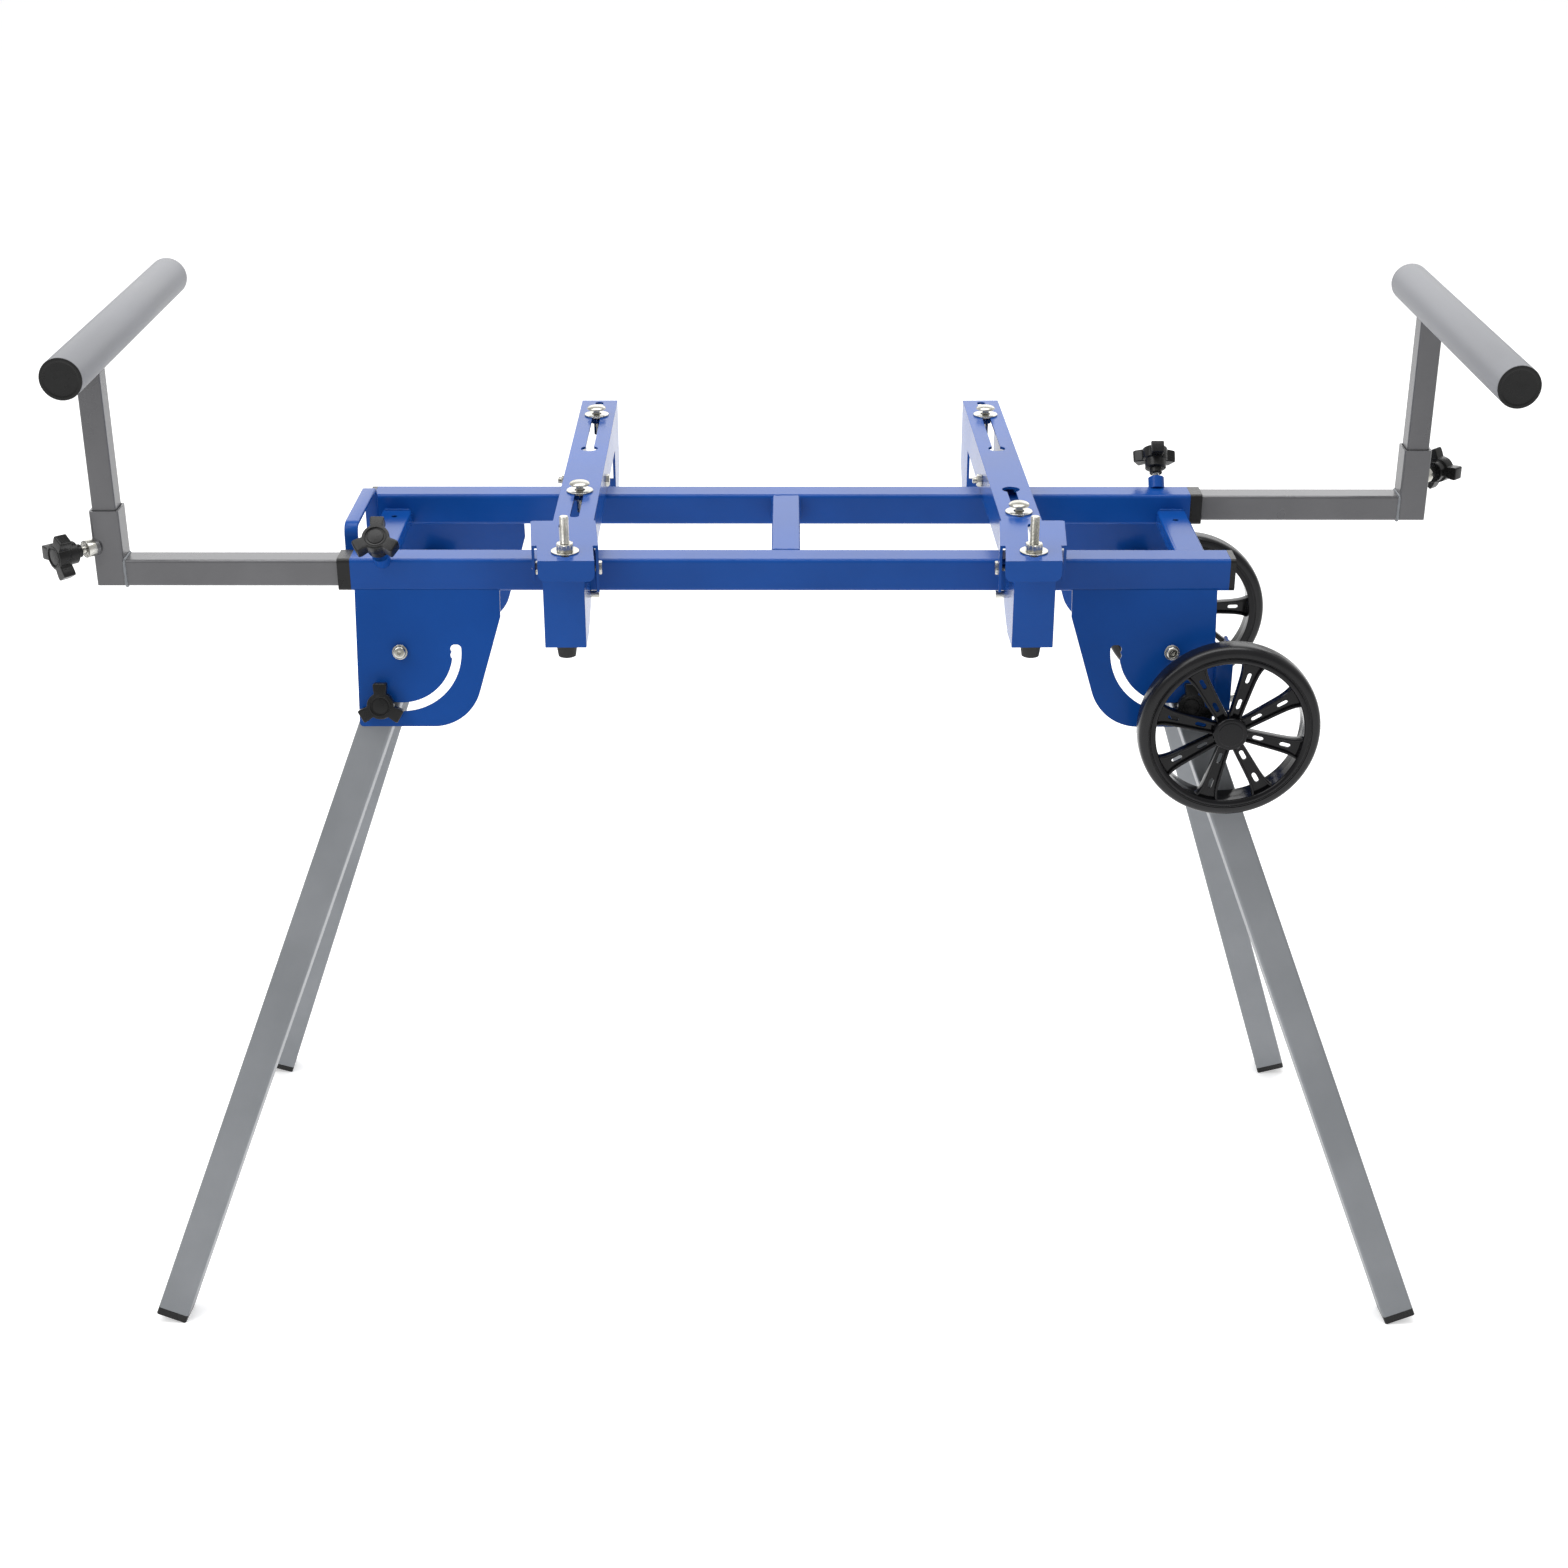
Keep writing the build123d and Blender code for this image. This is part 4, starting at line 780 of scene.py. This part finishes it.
def bead(start, stop, radius=None):
    # a bar whose radius rises and falls once each pitch, like the overlapping scales of a weld
    w = weldParts
    radius = radius or w["radius"]
    start, stop = np.array(start, float), np.array(stop, float)
    long = np.linalg.norm(stop - start)
    axis = (stop - start) / long
    across = (0, 0, 1) if abs(axis[2]) < 0.9 else (1, 0, 0)
    s = np.linspace(0, long, int(long / w["pitch"] * 8))[:, None]
    t = np.linspace(0, 2 * np.pi, 14, endpoint=False)
    lag = s + np.cos(t) * w["pitch"] * 0.25
    end = np.sqrt(np.clip(np.minimum(s, long - s) / radius, 0.02, 1))
    r = radius * end * (1 - w["wave"] * np.abs(np.sin(np.pi * lag / w["pitch"])) ** 0.7)
    r = r * (1 + 0.08 * np.sin(s * 410) + 0.05 * np.sin(s * 173 + 1))
    grid = np.stack([r * np.cos(t), r * np.sin(t), s + 0 * t], -1)
    return surface(placed(grid, start, across, axis), capStart=True, capEnd=True)


bossParts = {"radius": 0.0096, "bore": 0.0042, "long": 0.0104, "stand": 0.0378, "weld": 0.0017}


def bossWeld(origin, axis, across):
    # a bead round the boss: it falls by the radius times the cosine, as the tube's faces fall from its corner
    b = bossParts
    turn = np.linspace(0, 2 * np.pi, 260, endpoint=False)
    around = b["radius"] * np.stack([np.cos(turn), np.sin(turn), -np.abs(np.cos(turn))], -1)
    outwards = np.stack([np.cos(turn), np.sin(turn), 0 * turn], -1)
    t = np.linspace(0, 2 * np.pi, 12, endpoint=False)
    r = b["weld"] * (1 - 0.2 * np.abs(np.sin(turn * 13 + 0.3 * np.sin(3 * turn)))[:, None])
    grid = around[:, None] + (r * np.cos(t))[..., None] * outwards[:, None]
    grid = grid + (r * np.sin(t))[..., None] * np.array([0, 0, 1.0])
    return surface(placed(grid, origin, across, axis), wrapRows=True)


def makeBosses():
    # sleeve of the clamp screw over the corner of each socket, bare metal, with its weld; blue welds on the rails
    b = bossParts
    blue = []
    for side in ("left", "right"):
        for kind in ("socket", "rail"):
            origin, axis, _, _, top = knobFrame(kind + "_knob_" + side, "turn_" + kind + "_knob_" + side)
            across = np.cross(axis, (0, 0, 1) if kind == "socket" else (1, 0, 0))
            end = top - b["stand"]
            if kind == "rail":
                blue.append(bossWeld(origin, axis, across))
                continue
            profile = rounded([(b["bore"], end - b["long"]), (b["radius"], end - b["long"]), (b["radius"], end),
                               (b["bore"], end)], 0.0007, closed=True)
            parts = [bossWeld(origin, axis, across)]
            parts.append(ring(profile, 72, origin, across, axis))
            makePiece("clampBoss_" + side, parts, paints["zinc_steel"], "arm_" + side, [], 40)
    makePiece("railBossWelds", blue, paints["blue_paint"], "frame", [], 60)
    print("bosses made")


def makeWelds():
    # straight beads along the seams where tubes and handle meet the rails, and where each arm meets its socket
    w = weldParts
    short, thick = w["short"], handleParts["thick"]
    blue = []
    low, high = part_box("centre_tube")
    for y in (low[1], high[1]):
        for x in (low[0], high[0]):
            blue.append(bead((x, y, low[2] + short), (x, y, high[2] - 0.003)))
        top = high[2] - 0.0012
        blue.append(bead((low[0] + short, y, top), (high[0] - short, y, top), w["thin"]))
    tubes = nodes["end_tubes"].data
    points = np.empty(len(tubes.vertices) * 3)
    tubes.vertices.foreach_get("co", points)
    points = points.reshape(-1, 3)
    for side in (-1, 1):
        part = points[points[:, 0] * side > 0]
        tubeLow, tubeHigh = part.min(0), part.max(0)
        for y in (tubeLow[1], tubeHigh[1]):
            blue.append(bead((tubeLow[0] + short, y, tubeHigh[2]), (tubeHigh[0] - short, y, tubeHigh[2])))
    low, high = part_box("carry_handle")
    for y in (low[1], low[1] + thick, high[1] - thick, high[1]):
        blue.append(bead((high[0], y, low[2] + 0.001), (high[0], y, low[2] + w["handle"]), w["fine"]))
    makePiece("frameWelds", blue, paints["blue_paint"], "frame", [], 60)
    for name, end in (("left", 0), ("right", 1)):
        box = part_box("arm_" + name)
        (_, near, under), (_, far, over) = box
        face = box[end][0]
        seams = [((near, under), (near, over)), ((far, under), (far, over)),
                 ((near, over), (far, over)), ((near, under), (far, under))]
        makePiece("armWelds_" + name, [bead((face, *a), (face, *b), w["fine"]) for a, b in seams],
                  paints["grey_paint"], "arm_" + name, [], 60)
    print("welds made")


makeWheels()
makeKnobs()
makeBracketBolts()
makePivotBolts()
makeSupports()
makeHandle()
makeBosses()
makeWelds()
